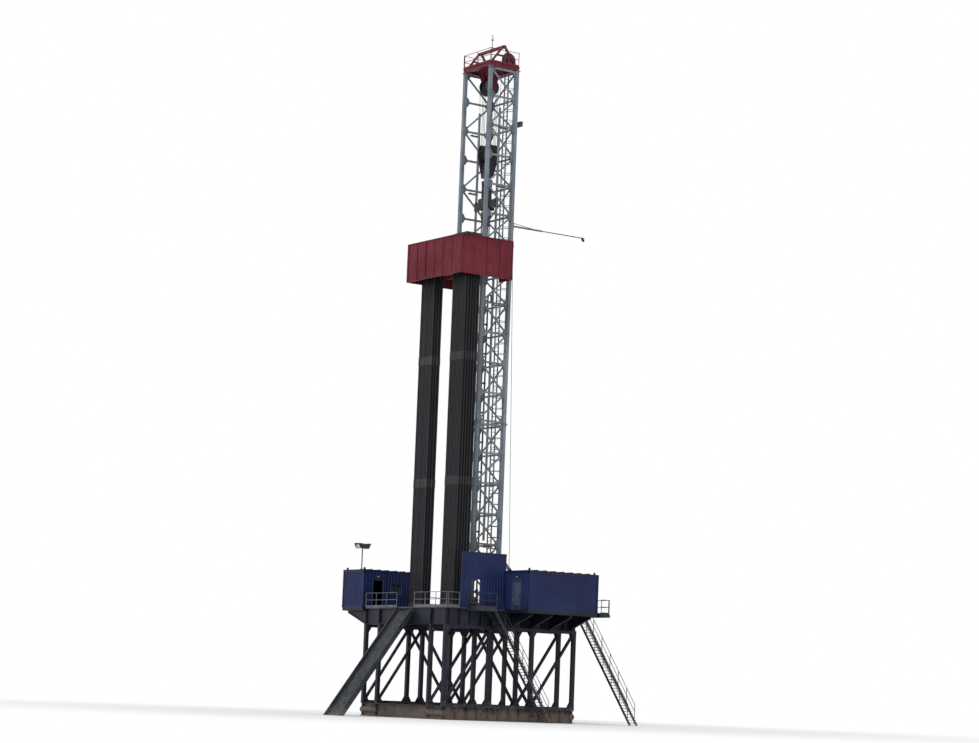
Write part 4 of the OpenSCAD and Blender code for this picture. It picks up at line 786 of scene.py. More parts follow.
def grating(low, high, top, deep, bar, pitch):
    """Grating over a rectangle of (x, y) corners, lying on the top."""
    (x0, y0), (x1, y1) = low, high
    values = {"Length": x1 - x0, "Width": y1 - y0, "Depth": deep, "Bar": bar,
              "Bar pitch": pitch, "Rod pitch": 0.1}
    return put(grow(GRATING, "walkway_steel", values), ((x0 + x1) / 2, (y0 + y1) / 2, top + deep))


def board_gratings():
    """Grating on the diving board."""
    low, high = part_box("racking_platform")
    beam, half, edge, to_well = 0.08, 0.19, 0.02, 0.17
    mesh = grating((low.x + beam + edge, -half), (-leg_out.x - to_well, half), high.z,
                   0.014, 0.005, 0.025)
    finish_piece("diving_board_grating", [mesh], "walkway_steel")


def walkway_gratings():
    """Grating on the landing, the porch and round the crown platform."""
    stair_low, stair_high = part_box("stair_landings")
    crown_low, crown_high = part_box("crown_platform")
    crown_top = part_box("gin_frame")[0].z
    landing_x1, landing_w, hole_x, hole_y, rim = -1.2, 0.7, 0.45, 0.5, 0.04
    panels = [((stair_low.x + rim, floor_low.y - landing_w + rim),
               (landing_x1 - rim, floor_low.y - rim), deck),
              ((floor_high.x + rim, stair_low.y + rim),
               (stair_high.x - rim, stair_high.y - rim), deck)]
    for y0, y1 in ((rim - crown_high.y, -hole_y), (hole_y, crown_high.y - rim)):
        panels.append(((crown_low.x + rim, y0), (crown_high.x - rim, y1), crown_top))
    panels.append(((crown_low.x + rim, -hole_y), (-hole_x, hole_y), crown_top))
    finish_piece("walkway_gratings", [grating(*panel, 0.008, 0.004, 0.03) for panel in panels],
                 "walkway_steel")


# Racking board

def pipe_ends():
    """Rims of the open box ends at the top of every racked stand."""
    joint_r, rim, steps = 0.042, 0.007, 20
    ring = bmesh.new()
    rounds = circle(joint_r - 1.3 * rim, steps)
    add_tube(ring, rounds + rounds[:1], rim, 6)
    places = []
    for node, s in (("near_racked_pipe", -1), ("far_racked_pipe", 1)):
        low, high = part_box(node)
        slots = round((high.x - low.x - 2 * joint_r) / SLOT_PITCH) + 1
        places += [((low.x + joint_r + i * SLOT_PITCH, s * (FIRST_STAND + k * STAND_GAP), high.z),
                    UP) for i in range(slots) for k in range(STANDS)]
    copies("pipe_ends", ring, places, "drill_pipe")


def finger_latches():
    """Latches along the racking fingers, one for each stand."""
    low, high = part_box("racking_fingers")
    slots, finger = 11, 0.03
    latch = boxes(((-0.014, -0.012, 0), (0.014, 0.012, 0.022)),
                  ((0.0, -0.008, 0.012), (0.075, 0.008, 0.02)))
    places = [((low.x + finger / 2 + i * SLOT_PITCH, s * (FIRST_STAND + (k - 0.5) * STAND_GAP),
                high.z), UP) for i in range(slots) for k in range(STANDS) for s in SIDES]
    copies("finger_latches", latch, places, "machine_steel")


def board_cladding():
    """Fine pressed ribs on the outside of the racking board's wind walls."""
    low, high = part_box("board_front_wall")
    side_low, side_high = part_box("board_side_walls")
    sheet, bar = 0.01, 0.03
    z, outer_y = low.z + bar, side_high.y - 0.04 + sheet
    front_l, side_l = high.y - low.y - 2 * bar, side_high.x - side_low.x - 2 * bar
    values = {"Height": high.z - z - bar, "Pitch": 0.1, "Width": 0.05, "Depth": 0.014}
    finish_piece("board_cladding", [
        put(grow(RIBS, "maroon_paint", {**values, "Length": length}), place, turn)
        for length, place, turn in (
            (front_l, (high.x - sheet, high.y - bar, z), -QUARTER),
            (side_l, (side_low.x + bar, -outer_y, z), 0),
            (side_l, (side_high.x - bar, outer_y, z), HALF))], "maroon_paint")


def board_corners():
    """Corner angles of the racking board's wind walls, with the bolts that hold them."""
    out_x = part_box("board_front_wall")[0].x
    low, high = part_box("board_side_walls")
    shape = bmesh.new()
    heads = []
    proud, leg, bolt_rows, end = 0.006, 0.055, 8, 0.08
    for s in SIDES:
        out_y = s * (high.y + proud)
        for inner_y, x1 in ((s * (high.y - leg), out_x), (s * high.y, out_x + 0.06)):
            y0, y1 = sorted((out_y, inner_y))
            add_box(shape, (out_x - proud, y0, low.z), (x1, y1, high.z))
        for k in range(bolt_rows):
            z = low.z + end + k * (high.z - low.z - 2 * end) / (bolt_rows - 1)
            heads += [((out_x - proud, s * (high.y - 0.025), z), ENDWAYS[-1]),
                      ((out_x + 0.03, out_y, z), SIDEWAYS[s])]
    plain_piece("board_corners", shape, "maroon_paint")
    bolts("board_corner_bolts", heads, 0.009, 0.01)


# Crown and lines

def crown_fittings():
    """Beacon on the crown's rod."""
    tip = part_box("gin_frame")[1].z
    base, dome = bmesh.new(), bmesh.new()
    add_round(base, (0, 0, tip - 0.2), (0, 0, tip - 0.17), 0.045, 12)
    add_round(base, (0, 0, tip - 0.02), (0, 0, tip), 0.03, 12)
    add_round(dome, (0, 0, tip - 0.17), (0, 0, tip - 0.09), 0.038, 16)
    add_round(dome, (0, 0, tip - 0.09), (0, 0, tip - 0.055), 0.038, 16, 0.016)
    plain_piece("beacon_base", base, "lamp_grey")
    plain_piece("beacon_glass", dome, "lamp_grey", LENS)


def crown_bolts():
    """Bolts through the crown's ring beams and the feet of its lifting frame."""
    foot_h, foot_in, foot_half_x, foot_half_y = 0.035, 0.12, 0.056, 0.044
    foot_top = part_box("gin_frame")[0].z + foot_h
    places = []
    for s, t in CORNERS:
        for z in (mast_top + 0.045, mast_top + 0.1):
            for back in (0.05, 0.12, 0.19):
                places += [((s * leg_out.x, t * (leg_out.y - back), z), ENDWAYS[s]),
                           ((s * (leg_out.x - back), t * leg_out.y, z), SIDEWAYS[t])]
        x, y = s * (leg_out.x - foot_in), t * (leg_out.y - foot_in)
        places += [((x + i * foot_half_x, y + j * foot_half_y, foot_top), UP)
                   for i, j in CORNERS]
    bolts("crown_bolts", places, 0.008, 0.01)


def foot_bolts():
    """Bolts round the mast's shoes and the feet of its back braces."""
    edge, shoe_t, brace_half, brace_foot_h = 0.13, 0.04, 0.083, 0.11
    places = []
    for s, t in CORNERS:
        places += [((s * leg_mid.x + dx, t * leg_mid.y + dy, deck + shoe_t), UP)
                   for dx in (-edge, 0, edge) for dy in (-edge, 0, edge) if dx or dy]
        places += [((floor_high.x - back, s * leg_mid.y + t * brace_half, deck + brace_foot_h), UP)
                   for back in (0.2, 0.28, 0.36, 0.44)]
    bolts("foot_bolts", places, 0.012, 0.016)


def line_ends():
    """Both ends of each line: on the block's sheaves, and on the crown's."""
    line_x, lead_y, sheave_gap, fast_axis = 0.3, 0.3, 0.09, 25.597
    block_ys = [(i - 1.5) * sheave_gap for i in range(4)]
    crown_ys = [-sheave_gap, 0, sheave_gap]
    runs = [(-line_x, y, top, crown_axis) for y, top in zip(block_ys, crown_ys + [lead_y])]
    runs += [(line_x, y, top, crown_axis) for y, top in zip(block_ys[1:], crown_ys)]
    runs.append((line_x, block_ys[0], -lead_y, fast_axis))
    return [(Vector((x, y, block_axis)), Vector((x, top, axis))) for x, y, top, axis in runs]


def drilling_lines():
    """The eight lines between the crown and the block."""
    node = frame["nodes"]["drill_lines"]
    shape = bmesh.new()
    rope_r, steps = 0.009, 24
    for start, end in line_ends():
        add_tube(shape, [start.lerp(end, i / steps) for i in range(steps + 1)], rope_r, 10)
    piece = linked("drilling_lines", shape_mesh("drilling_lines", shape))
    piece.data.materials.append(FINISHES["wire_rope"])
    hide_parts(node.name)
    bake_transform(piece)


# Houses and wind wall

DOOR_X, DOOR_W, DOOR_H = 0.42, 0.45, 1.05
WINDOWS, WINDOW_W, WINDOW_H, SILL = (1.25, 2.25), 0.46, 0.38, 0.56
WALL_OPENINGS = [(DOOR_X, DOOR_X + DOOR_W, 0, DOOR_H)]
WALL_OPENINGS += [(x, x + WINDOW_W, SILL, SILL + WINDOW_H) for x in WINDOWS]
end_door_y = (dog_low.y + dog_high.y - DOOR_W) / 2

# Left lower corner of each doorway as seen from outside, with its turn, the end doors last
DOORS = [((dog_low.x + DOOR_X + DOOR_W, dog_high.y, deck), TURN_BACK),
         ((far_low.x + DOOR_X, far_low.y, deck), UP),
         ((dog_low.x, end_door_y + DOOR_W, deck), TURN_RIGHT),
         ((dog_high.x, end_door_y, deck), TURN_LEFT)]
END_DOORS = DOORS[2:]


def wall_ribs(length, height, openings):
    """Ribs on a wall whose outer face points to -Y, broken round its openings.

    Each opening is (x0, x1, z0, z1). The wall starts at X = 0 and stands on Z = 0."""
    margin, least_w, least_h = 0.05, 0.14, 0.1
    panels = []
    x = margin
    for x0, x1, z0, z1 in sorted(openings):
        panels += [(x, x0 - margin, margin, height - margin),
                   (x0 - margin, x1 + margin, z1 + margin, height - margin),
                   (x0 - margin, x1 + margin, margin, z0 - margin)]
        x = x1 + margin
    panels.append((x, length - margin, margin, height - margin))
    return [put(grow(RIBS, "blue_paint", {"Pitch": 0.12, "Width": 0.06, "Depth": 0.018,
                                          "Length": x1 - x0, "Height": z1 - z0}), (x0, 0, z0))
            for x0, x1, z0, z1 in panels if x1 - x0 > least_w and z1 - z0 > least_h]


def house_cladding():
    """Ribbed steel sheet on the outside of both houses."""
    for name, (low, high) in HOUSES.items():
        length, width, height = high - low
        mirrored = [(length - x1, length - x0, z0, z1) for x0, x1, z0, z1 in WALL_OPENINGS]
        door_y = (width - DOOR_W) / 2
        near, far, ends = [], mirrored, [(door_y, door_y + DOOR_W, 0, DOOR_H)]
        if name == "far_house":
            near, far, ends = WALL_OPENINGS, [], []
        walls = ((length, near, low.x, low.y, 0), (length, far, high.x, high.y, HALF),
                 (width, ends, low.x, high.y, -QUARTER), (width, ends, high.x, low.y, QUARTER))
        finish_piece(f"{name}_cladding", [
            put(mesh, (x, y, low.z), turn) for run, openings, x, y, turn in walls
            for mesh in wall_ribs(run, height, openings)], "blue_paint")


def wind_wall_cladding():
    low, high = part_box("near_wind_wall")
    door_x = -1.95
    openings = [(door_x - low.x, door_x - low.x + DOOR_W, 0, DOOR_H)]
    finish_piece("wind_wall_cladding", [
        put(mesh, low) for mesh in wall_ribs(high.x - low.x, high.z - low.z, openings)],
        "blue_paint")


def opening_frame(width, height, bar, depth, sill):
    """Frame of flat bars round an opening from X = 0 and Z = 0, standing out to -Y."""
    foot = -bar if sill else 0
    shape = boxes(((-bar, -depth, foot), (0, 0, height + bar)),
                  ((width, -depth, foot), (width + bar, 0, height + bar)),
                  ((0, -depth, height), (width, 0, height + bar)))
    if sill:
        add_box(shape, (-bar, -depth * 1.6, foot), (width + bar, 0, 0))
    return shape


def house_frames():
    """Frames round every window and doorway of the houses, with drips over them."""
    window = opening_frame(WINDOW_W, WINDOW_H, 0.03, 0.024, True)
    add_box(window, (WINDOW_W / 2 - 0.008, -0.004, 0), (WINDOW_W / 2 + 0.008, 0.012, WINDOW_H))
    add_box(window, (-0.05, -0.05, WINDOW_H + 0.04), (WINDOW_W + 0.05, 0, WINDOW_H + 0.052))
    doorway = opening_frame(DOOR_W, DOOR_H, 0.035, 0.024, False)
    add_box(doorway, (-0.06, -0.07, DOOR_H + 0.045), (DOOR_W + 0.06, 0, DOOR_H + 0.06))
    windows = [((dog_low.x + x + WINDOW_W, dog_high.y, deck + SILL), TURN_BACK) for x in WINDOWS]
    windows += [((far_low.x + x, far_low.y, deck + SILL), UP) for x in WINDOWS]
    finish_piece("house_frames", [set_out(window, windows, "door_paint"),
                                  set_out(doorway, DOORS, "door_paint")], "door_paint")


def door_fittings():
    """Hinges, handles and kick plates on the doghouse's end doors."""
    leaf = bmesh.new()
    for z in (0.15, 0.5, 0.88):
        add_box(leaf, (-0.02, -0.014, z), (0.05, 0, z + 0.05))
        add_round(leaf, (-0.012, -0.012, z - 0.012), (-0.012, -0.012, z + 0.062), 0.009, 8)
    handle_x, handle_z = DOOR_W - 0.052, 0.54
    add_box(leaf, (DOOR_W - 0.07, -0.008, 0.44), (DOOR_W - 0.035, 0, 0.58))
    add_tube(leaf, rounded_path([(handle_x, 0, handle_z), (handle_x, -0.04, handle_z),
                                 (DOOR_W - 0.13, -0.04, handle_z)], 0.015), 0.007, 8)
    add_box(leaf, (0.03, -0.004, 0.02), (DOOR_W - 0.03, 0, 0.16))
    inset = 0.008
    leaf.transform(Matrix.Translation((0, inset, 0)))
    copies("door_fittings", leaf, END_DOORS, "machine_steel")


def door_lamps():
    """A caged bulkhead lamp over every door of the houses."""
    glass = bmesh.new()
    body = boxes(((-0.06, -0.03, -0.035), (0.06, 0.002, 0.035)))
    for x in (-0.03, 0, 0.03):
        add_tube(body, [(x, -0.028, -0.033), (x, -0.062, -0.028), (x, -0.062, 0.028),
                        (x, -0.028, 0.033)], 0.003, 6)
    add_round(glass, (0, -0.028, 0), (0, -0.056, 0), 0.03, 14, 0.02)
    over_door = 0.15
    for shape in (body, glass):
        shape.transform(Matrix.Translation((DOOR_W / 2, 0, DOOR_H + over_door)))
    copies("door_lamp_bodies", body, DOORS, "lamp_grey")
    copies("door_lamp_glasses", glass, DOORS, "lamp_grey", material=LENS)


def add_taper(shape, x, z, foot, head, tall, thickness, y):
    """Upright plate that narrows from foot to head, each given as half its width."""
    add_plate(shape, [(x - foot, z), (x + foot, z), (x + head, z + tall), (x - head, z + tall)],
              thickness, (0, y, 0))


def roof_seams():
    """Standing seams and lifting lugs on the house roofs."""
    shape = bmesh.new()
    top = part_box("house_roofs")[1].z
    for low, high in HOUSES.values():
        count = 8
        for i in range(1, count):
            add_taper(shape, low.x + i * (high.x - low.x) / count, top, 0.018, 0.008, 0.03,
                      high.y - low.y, (low.y + high.y) / 2)
        for x in (low.x + 0.09, high.x - 0.09):
            for y in (low.y + 0.12, high.y - 0.12):
                add_taper(shape, x, top, 0.05, 0.03, 0.09, 0.02, y)
    plain_piece("roof_seams", shape, "navy_paint")


TRIM_PROUD, TRIM_W = 0.018, 0.05


def corner_posts(shape, low, high):
    """Angle trims up the four corners of a box of walls, and a rail along their tops."""
    for x, inward_x in ((low.x, 1), (high.x, -1)):
        for y, inward_y in ((low.y, 1), (high.y, -1)):
            out_x, out_y = x - inward_x * TRIM_PROUD, y - inward_y * TRIM_PROUD
            add_box(shape, (out_x, out_y, low.z), (x, y + inward_y * TRIM_W, high.z))
            add_box(shape, (out_x, out_y, low.z), (x + inward_x * TRIM_W, y, high.z))
    rail_low = high.z - TRIM_W
    for y, outward in ((low.y, -TRIM_PROUD), (high.y, TRIM_PROUD)):
        add_box(shape, (low.x, y, rail_low), (high.x, y + outward, high.z))
    for x, outward in ((low.x, -TRIM_PROUD), (high.x, TRIM_PROUD)):
        add_box(shape, (x, low.y, rail_low), (x + outward, high.y, high.z))


def corner_casting(tall):
    """Slotted lifting corner for the walls' corner at the origin, faces towards -X and -Y."""
    proud, reach, rim = 0.02, 0.055, 0.022
    shape = boxes(((-0.008, -0.008, 0), (0.036, 0.036, tall)))
    slot_low, slot_high = rim - proud, reach - rim
    for a0, a1, z0, z1 in ((-proud, slot_low, 0, tall), (slot_high, reach, 0, tall),
                           (slot_low, slot_high, 0, rim), (slot_low, slot_high, tall - rim, tall)):
        add_box(shape, (a0, -proud, z0), (a1, 0, z1))
        add_box(shape, (-proud, a0, z0), (0, a1, z1))
    return shape


def house_trims():
    """Corner angles, top rails and lifting corners of both houses."""
    shape = bmesh.new()
    casting_h = 0.075
    places = []
    for low, high in HOUSES.values():
        corner_posts(shape, low, high)
        for z in (low.z, high.z - casting_h):
            places += [((low.x, low.y, z), UP), ((high.x, low.y, z), TURN_LEFT),
                       ((high.x, high.y, z), TURN_BACK), ((low.x, high.y, z), TURN_RIGHT)]
    plain_piece("house_trims", shape, "blue_paint")
    copies("lifting_corners", corner_casting(casting_h), places, "navy_paint")


def wind_wall_trim():
    """Cap and end angles on the tall wind wall."""
    low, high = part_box("near_wind_wall")
    proud, leg = 0.006, 0.06
    x0, y0, top = low.x - proud, low.y - TRIM_PROUD, high.z + proud
    shape = boxes(((x0, y0, high.z - TRIM_W), (high.x, low.y, top)),
                  ((x0, y0, high.z), (high.x, low.y + leg, top)),
                  ((x0, y0, low.z), (low.x + TRIM_W, low.y, high.z - TRIM_W)),
                  ((x0, y0, low.z), (low.x, low.y + leg, high.z)))
    plain_piece("wind_wall_trim", shape, "blue_paint")


def boom_tip():
    """Sheave between cheek plates at the end of the mast boom."""
    low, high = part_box("mast_boom")
    boom_up, axle_down = 14.85, 0.085
    x, y, z = high.x - 0.05, (low.y + high.y) / 2, deck + boom_up
    axle_z = z - axle_down
    shape = bmesh.new()
    cheek = [(-0.09, -0.03), (0.03, -0.05), (0.05, -0.12), (0.01, -0.14), (-0.05, -0.11),
             (-0.09, 0.03)]
    for s in SIDES:
        add_plate(shape, [(x + dx, z + dz) for dx, dz in cheek], 0.006, (0, y + s * 0.024, 0))
        for half, radius in ((0.018, 0.045), (0.01, 0.055)):
            add_round(shape, (x, y + s * 0.004, axle_z), (x, y + s * half, axle_z), radius, 20)
    add_round(shape, (x, y - 0.034, axle_z), (x, y + 0.034, axle_z), 0.012, 10)
    plain_piece("boom_tip", shape, "machine_steel")


# Substructure and floor

def beam_stiffeners():
    """Stiffener plates between the flanges of the long beams, in steps along them."""
    box_w, flange, web, flange_t, bays = 1.1, 0.16, 0.014, 0.024, 12
    for word in ("base", "floor"):
        low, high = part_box(f"{word}_boxes")
        plate = boxes(((-0.006, 0, flange_t),
                       (0.006, (flange - web) / 2 * 0.96, high.z - low.z - flange_t)))
        step = (high.x - low.x - 2 * flange) / bays
        places = []
        for s, t in CORNERS:
            y = s * (high.y - box_w / 2) + t * (box_w / 2 - flange / 2)
            places += [((low.x + flange + i * step, y + face * web / 2, low.z),
                        UP if face > 0 else TURN_BACK) for i in range(bays + 1) for face in SIDES]
        copies(f"{word}_box_stiffeners", plate, places, "navy_paint")


def frame_pins():
    """Pins through the foot gussets of the side frames' posts, with their keeper bolts."""
    low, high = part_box("near_side_frame")
    post, bays, pin_up, reach = 0.14, 3, 0.15, 0.12
    half = high.x - post / 2
    shape = boxes(((-0.06, -0.012, 0), (0.06, 0.012, 0.01)))
    add_round(shape, (0, 0, -0.004), (0, 0, 0.028), 0.036, 14)
    add_round(shape, (0, 0, 0.028), (0, 0, 0.036), 0.022, 10)
    for x, up, foot, head, radius in (
            (-0.05, 0, 0.009, 0.02, 0.01), (0.05, 0, 0.009, 0.02, 0.01),
            (-0.045, -0.1, -0.004, 0.012, 0.013), (0.045, -0.1, -0.004, 0.012, 0.013),
            (0, 0.12, -0.004, 0.012, 0.013)):
        add_round(shape, (x, up, foot), (x, up, head), radius, 6)
    face_y = post / 2 + GUSSET
    pins, heads = [], []
    for frame_y in (abs(high.y) + face_y, abs(low.y) - face_y):
        for s, face in CORNERS:
            y, turn = s * frame_y + face * face_y, SIDEWAYS[face]
            for i in range(bays + 1):
                x = -half + i * 2 * half / bays
                pins += [((x, y, z), turn) for z in (low.z + pin_up, high.z - pin_up)]
                heads += [((x + side * reach, y, z), turn) for side in SIDES
                          if 0 <= i + side <= bays
                          for z in (low.z + 0.025, low.z + 0.08, high.z - 0.08, high.z - 0.025)]
    copies("frame_pins", shape, pins, "machine_steel")
    bolts("frame_bolts", heads, 0.012, 0.014)


def railing_sockets():
    """Base plates, sockets and clamp screws at the feet of the floor railings."""
    rail_r, post_gap = 0.013, 0.8
    edge_x, edge_y = floor_high.x - 2 * rail_r, floor_high.y - 2 * rail_r
    ramp_edge, clear, landing_w = 0.58, 4 * rail_r, 0.7
    wind_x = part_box("near_wind_wall")[0].x
    places = []
    for start, end in (((-edge_x, ramp_edge), (-edge_x, edge_y)),
                       ((-edge_x, -edge_y), (-edge_x, -ramp_edge)),
                       ((edge_x, clear + landing_w - edge_y), (edge_x, edge_y)),
                       ((clear - edge_x, -edge_y), (wind_x - clear, -edge_y)),
                       ((far_high.x + clear, edge_y), (edge_x - clear, edge_y))):
        start, end = Vector((*start, deck)), Vector((*end, deck))
        length = (end - start).length
        bays = max(1, round(length / post_gap))
        places += [(start.lerp(end, (rail_r + i * (length - 2 * rail_r) / bays) / length), UP)
                   for i in range(bays + 1)]
    socket = boxes(((-0.024, -0.024, 0), (0.024, 0.024, 0.006)))
    add_round(socket, (0, 0, 0.006), (0, 0, 0.1), 0.018, 10)
    add_round(socket, (0, 0, 0.06), (0.034, 0, 0.06), 0.005, 6)
    copies("railing_sockets", socket, places, "rail_paint")


def stair_grips():
    """Nosing and gripping bars on every tread of both stairs."""
    risers, slope, stair_w = 38, math.radians(56), 0.4
    going, rise = deck / math.tan(slope) / risers, deck / risers
    reach, half, to_stair = 1.9 * going, stair_w / 2 - 0.004, 0.35
    bars = [reach * (0.12 + 0.16 * k) for k in range(5)]
    tread = boxes(((reach - 0.012, -half, -0.016), (reach + 0.003, half, 0.005)),
                  *[((x, -half, -0.001), (x + 0.005, half, 0.005)) for x in bars])
    places = [((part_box(stair)[0].x + i * going, y, deck - (i + 1) * rise), UP)
              for stair, y in (("near_stair", floor_low.y - to_stair),
                               ("rear_stair", floor_low.y + to_stair)) for i in range(risers - 1)]
    copies("stair_grips", tread, places, "walkway_steel")


def ramp_strips():
    """Wear strips down the V-door ramp, with the studs that hold them."""
    slope, depth, studs = math.radians(53.5), 0.19, 9
    down = Vector((-math.cos(slope), 0, -math.sin(slope)))
    out = Vector((-math.sin(slope), 0, math.cos(slope)))
    turned = Matrix((down, (0, 1, 0), out)).transposed().to_4x4()
    shape = bmesh.new()
    length = deck / math.sin(slope) - 0.2
    for y in (-0.36, -0.18, 0, 0.18, 0.36):
        add_box(shape, (0.14, y - 0.02, -0.002), (length, y + 0.02, 0.012))
        for k in range(studs):
            x = 0.3 + k * (length - 0.5) / (studs - 1)
            add_round(shape, (x, y, 0.01), (x, y, 0.018), 0.009, 6)
    shape.transform(Matrix.Translation(Vector((floor_low.x, 0, deck)) - out * depth / 2) @ turned)
    plain_piece("ramp_strips", shape, "machine_steel")


def rotary_fittings():
    """Split bushing, locking pins and bolts round the rotary table's opening."""
    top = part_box("rotary_table")[1].z
    bore, ring, split = 0.238, 0.43, 0.345
    shape = bmesh.new()
    rim = circle(bore + 0.02, 48, z=top)
    add_tube(shape, rim + rim[:1], 0.009, 6)
    for s in SIDES:
        add_box(shape, (s * split - 0.06, -0.004, top - 0.002),
                (s * split + 0.06, 0.004, top + 0.003))
    for x, y, _ in circle(0.3, 4, math.pi / 4):
        add_round(shape, (x, y, top - 0.002), (x, y, top + 0.006), 0.024, 14)
        add_tube(shape, [(x - 0.014, y, top), (x - 0.014, y, top + 0.018),
                         (x + 0.014, y, top + 0.018), (x + 0.014, y, top)], 0.003, 6)
    plain_piece("rotary_bushing", shape, "machine_steel")
    places = [(place, UP) for place in circle(0.4, 20, z=top)]
    places += [((s * x, t * y, top - 0.02), UP) for s, t in CORNERS
               for x, y in ((0.5, 0.3), (0.5, 0.12), (0.38, 0.4), (0.2, 0.435))
               if math.hypot(x, y) > ring + 0.02]
    bolts("rotary_bolts", places, 0.011, 0.012)


# Machinery

def drawworks_fittings():
    """Cooling fins, bolts and louvres on the drawworks' motors, cases and hood."""
    rear_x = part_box("drawworks")[1].x
    skid_top = deck + 0.15
    motor_x, motor_r, motor_l, motor_z = 1.65, 0.17, 0.56, skid_top + 0.19
    case_y = 0.61
    fins, under = 28, range(11, 18)
    fin = boxes(((-0.004, 0.07, motor_r - 0.006), (0.004, 0.5, motor_r + 0.014)))
    places = [((motor_x, start, motor_z), (0, 2 * math.pi * k / fins, 0))
              for start in (-case_y - motor_l, case_y) for k in range(fins) if k not in under]
    copies("motor_fins", fin, places, "navy_paint")
    heads = []
    for s in SIDES:
        heads += [((motor_x + x, s * (case_y + motor_l - 0.001), motor_z + z), SIDEWAYS[s])
                  for x, z, _ in circle(0.15, 12)]
        heads += [((x, s * case_y, skid_top + up), SIDEWAYS[s])
                  for x in (1.42, 1.92, 2.2, 2.48, 2.78) for up in (0.06, 0.5)]
        heads += [((x, s * 0.66, skid_top), UP) for x in (1.45, 1.9, 2.35, 2.8)]
    bolts("drawworks_bolts", heads, 0.013, 0.014)
    slat = bmesh.new()
    slat_gap, slats = 0.036, 11
    add_plate(slat, [(0, 0), (0.022, -0.014), (0.022, -0.01), (0, 0.012)], 0.26)
    places = [((rear_x - 0.003, y, skid_top + 0.12 + slat_gap * k), UP)
              for y in (-0.32, 0, 0.32) for k in range(slats)]
    copies("hood_louvres", slat, places, "navy_paint")


def hoist_fittings():
    """Bolts on the travelling block and top drive, and the top drive motor's fins."""
    low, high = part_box("travelling_block")
    cheek_y, gear_top, gear_x = 0.2203, 20.012, 0.26
    spots = [(x, high.z - 0.04) for x in (-0.2, 0, 0.2)]
    spots += [(s * x, low.z + z) for s in SIDES
              for x, z in ((0.11, 0.05), (0.11, 0.14), (0.27, 0.66), (0.31, 0.86), (0.3, 1.05))]
    spots += [(x, low.z + 0.938 + z) for x, z, _ in circle(0.09, 6)]
    heads = [((x, s * cheek_y, z), SIDEWAYS[s]) for s in SIDES for x, z in spots]
    heads += [((s * x, t * y, gear_top), UP) for s, t in CORNERS
              for x, y in ((0.16, 0.22), (0.23, 0.12), (0.23, 0.04))]
    heads += [((s * gear_x, y, gear_top - down), ENDWAYS[s]) for s in SIDES
              for y in (-0.15, -0.05, 0.05, 0.15) for down in (0.04, 0.38)]
    bolts("hoist_bolts", heads, 0.013, 0.015, HOIST)
    motor_x, fins = -0.026, 24
    fin = boxes(((0.154, -0.004, 0.05), (0.174, 0.004, 0.39)))
    places = [((motor_x, 0, gear_top), (0, 0, 2 * math.pi * k / fins)) for k in range(fins)]
    copies("top_drive_fins", fin, places, "hoist_paint", HOIST)


def floodlight_fronts():
    """Lenses, visors and cable glands on the floodlights."""
    pole = Vector((far_low.x + 0.1, floor_high.y + 0.35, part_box("house_roofs")[1].z + 0.9))
    face, arm, mast_face, mast_up = Vector((0.198, 0, 0)), 0.08, 0.108, 18.9
    lens = boxes(((-0.002, -0.135, -0.075), (0.006, 0.135, 0.075)))
    visor = boxes(((0, -0.165, 0.095), (0.09, 0.165, 0.101)))
    for y in (-0.162, 0.162):
        add_plate(visor, [(0, -0.09), (0.09, 0.101), (0, 0.101)], 0.006, (0, y, 0))
    add_round(visor, (-0.21, -0.08, 0.05), (-0.21, -0.08, 0.12), 0.014, 8)
    pole_heads = [(pole + face, UP), (pole - face, TURN_BACK)]
    mast_head = ((leg_out.x + arm + mast_face, -leg_mid.y, deck + mast_up), UP)
    copies("floodlight_lenses", lens, pole_heads + [mast_head], "lamp_grey", material=LENS)
    copies("floodlight_visors", visor, pole_heads, "lamp_grey")


def drum_rope():
    """Fast line wound on the drawworks' drum."""
    low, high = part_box("drawworks_drum")
    width = 0.79
    mesh = grow(WINDING, "wire_rope", {"Drum radius": 0.28, "Rope radius": 0.009, "Width": width})
    mesh.transform(Matrix.Rotation(QUARTER, 4, "X"))
    place = ((low.x + high.x) / 2, width / 2, (low.z + high.z) / 2)
    finish_piece("drum_rope", [put(mesh, place)], "wire_rope")


for fit in (mast_bolts, splice_bolts, ladder_cage, standpipe, cable_ladder, tube_lamps,
            board_gratings, pipe_ends, finger_latches, board_cladding, crown_fittings, crown_bolts,
            foot_bolts, drilling_lines, house_cladding, wind_wall_cladding, house_frames,
            door_fittings, roof_seams, house_trims, wind_wall_trim, board_corners,
            walkway_gratings, boom_tip, beam_stiffeners, frame_pins, railing_sockets, stair_grips,
            ramp_strips, rotary_fittings, drawworks_fittings, hoist_fittings, floodlight_fronts,
            door_lamps, drum_rope):
    fit()


# Floor, light and camera

WHITE = (1, 1, 1, 1)


def show_white(net, output, shader, white, far=1.0):
    """White to the camera's rays and to those off or through the rig, by the share far, and the
    shader's own colour for the light that falls on the rig."""
    path = net.add("ShaderNodeLightPath")
    reflected = net.math("MAXIMUM", path["Is Glossy Ray"], path["Is Transmission Ray"])
    seen = net.math("MAXIMUM", path["Is Camera Ray"], reflected)
    net.feed(net.tree.nodes[output], {"Surface": net.add("ShaderNodeMixShader", {
        0: net.math("MULTIPLY", far, seen), 1: shader.outputs[0], 2: white[0]})[0]})


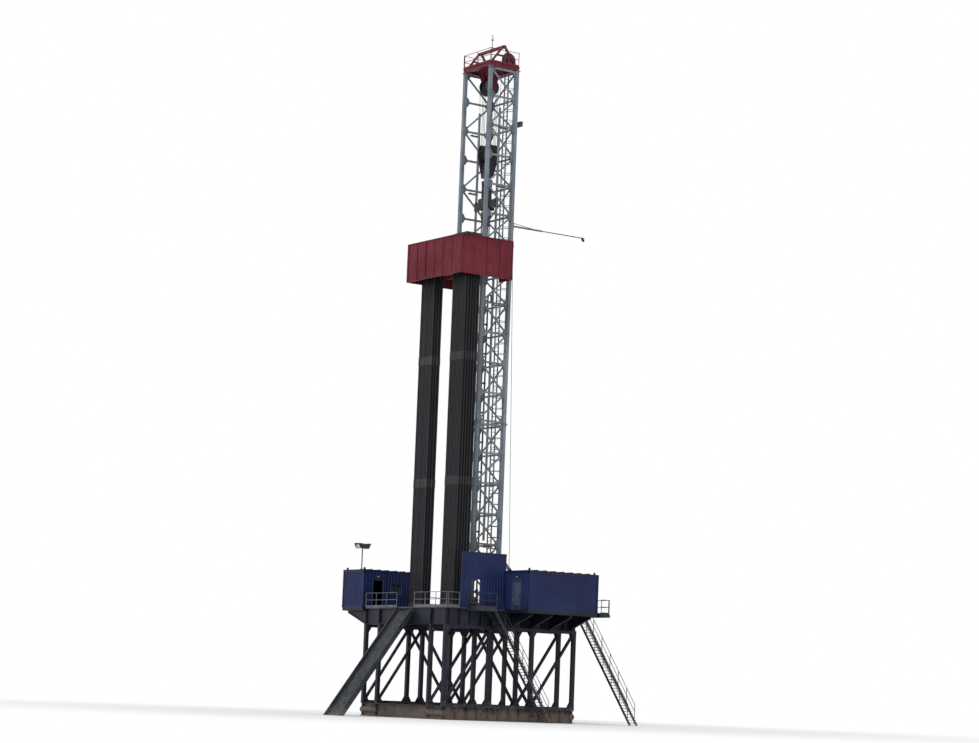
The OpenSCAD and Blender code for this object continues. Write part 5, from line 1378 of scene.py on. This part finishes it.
def pale_floor():
    """Pale floor that keeps the shadow near the rig and runs out to white."""
    size, shadow_reach, white_from = 400, 9.0, 30.0
    shape = bmesh.new()
    bmesh.ops.create_circle(shape, cap_ends=True, segments=64, radius=size)
    floor = linked("studio_floor", shape_mesh("studio_floor", shape))
    net = Finish("studio floor")
    distance = net.add("ShaderNodeVectorMath", {0: net.place}, operation="LENGTH")["Value"]
    floor.data.materials.append(net.done({"Base Color": (0.82, 0.82, 0.82, 1), "Roughness": 0.9,
                                          "Specular IOR Level": 0.1}))
    show_white(net, "Material Output", net.tree.nodes["Principled BSDF"],
               net.add("ShaderNodeEmission", {"Color": WHITE}),
               net.spread(distance, shadow_reach, white_from))


def studio_light():
    """Even light from all round, and one broad lamp from high on the V-door side."""
    world = bpy.data.worlds.new("studio")
    bpy.context.scene.world = world
    world.use_nodes = True
    net = Nodes(world.node_tree)
    light = net.tree.nodes["Background"]
    net.feed(light, {"Color": (0.93, 0.96, 1.0, 1), "Strength": 0.72})
    show_white(net, "World Output", light, net.add("ShaderNodeBackground", {"Color": WHITE}))
    sun = bpy.data.lights.new("broad lamp", "SUN")
    sun.energy = 1.5
    sun.angle = math.radians(24)
    sun.color = (1.0, 0.985, 0.96)
    lamp = linked("broad_lamp", sun)
    towards = Vector((0.62, 0.45, -0.75))
    lamp.rotation_mode = "QUATERNION"
    lamp.rotation_quaternion = towards.to_track_quat("-Z", "Y")


def photo_camera():
    """The photograph's direction, eye height and lean, close enough in for the whole rig."""
    azimuth, lean = math.radians(-35), math.radians(2.2)
    distance, eye, share = 95.0, 0.85, 0.93
    picture_w, picture_h = 979, 743
    data = bpy.data.cameras.new("camera")
    camera = linked("camera", data)
    target = Vector((0.25, -0.3, (cad_low.z + cad_high.z) / 2))
    camera.location = (distance * math.sin(azimuth), -distance * math.cos(azimuth), eye)
    look = (target - camera.location).to_track_quat("-Z", "Y")
    camera.rotation_mode = "QUATERNION"
    camera.rotation_quaternion = look @ Matrix.Rotation(lean, 3, "Z").to_quaternion()
    tall = (cad_high.z - cad_low.z) / share
    reach = (target - camera.location).length
    data.sensor_width = 36
    data.lens = data.sensor_width * picture_h / picture_w * reach / tall
    data.clip_end = 1000
    bpy.context.scene.camera = camera


pale_floor()
studio_light()
photo_camera()
bpy.context.scene.view_settings.view_transform = "Standard"
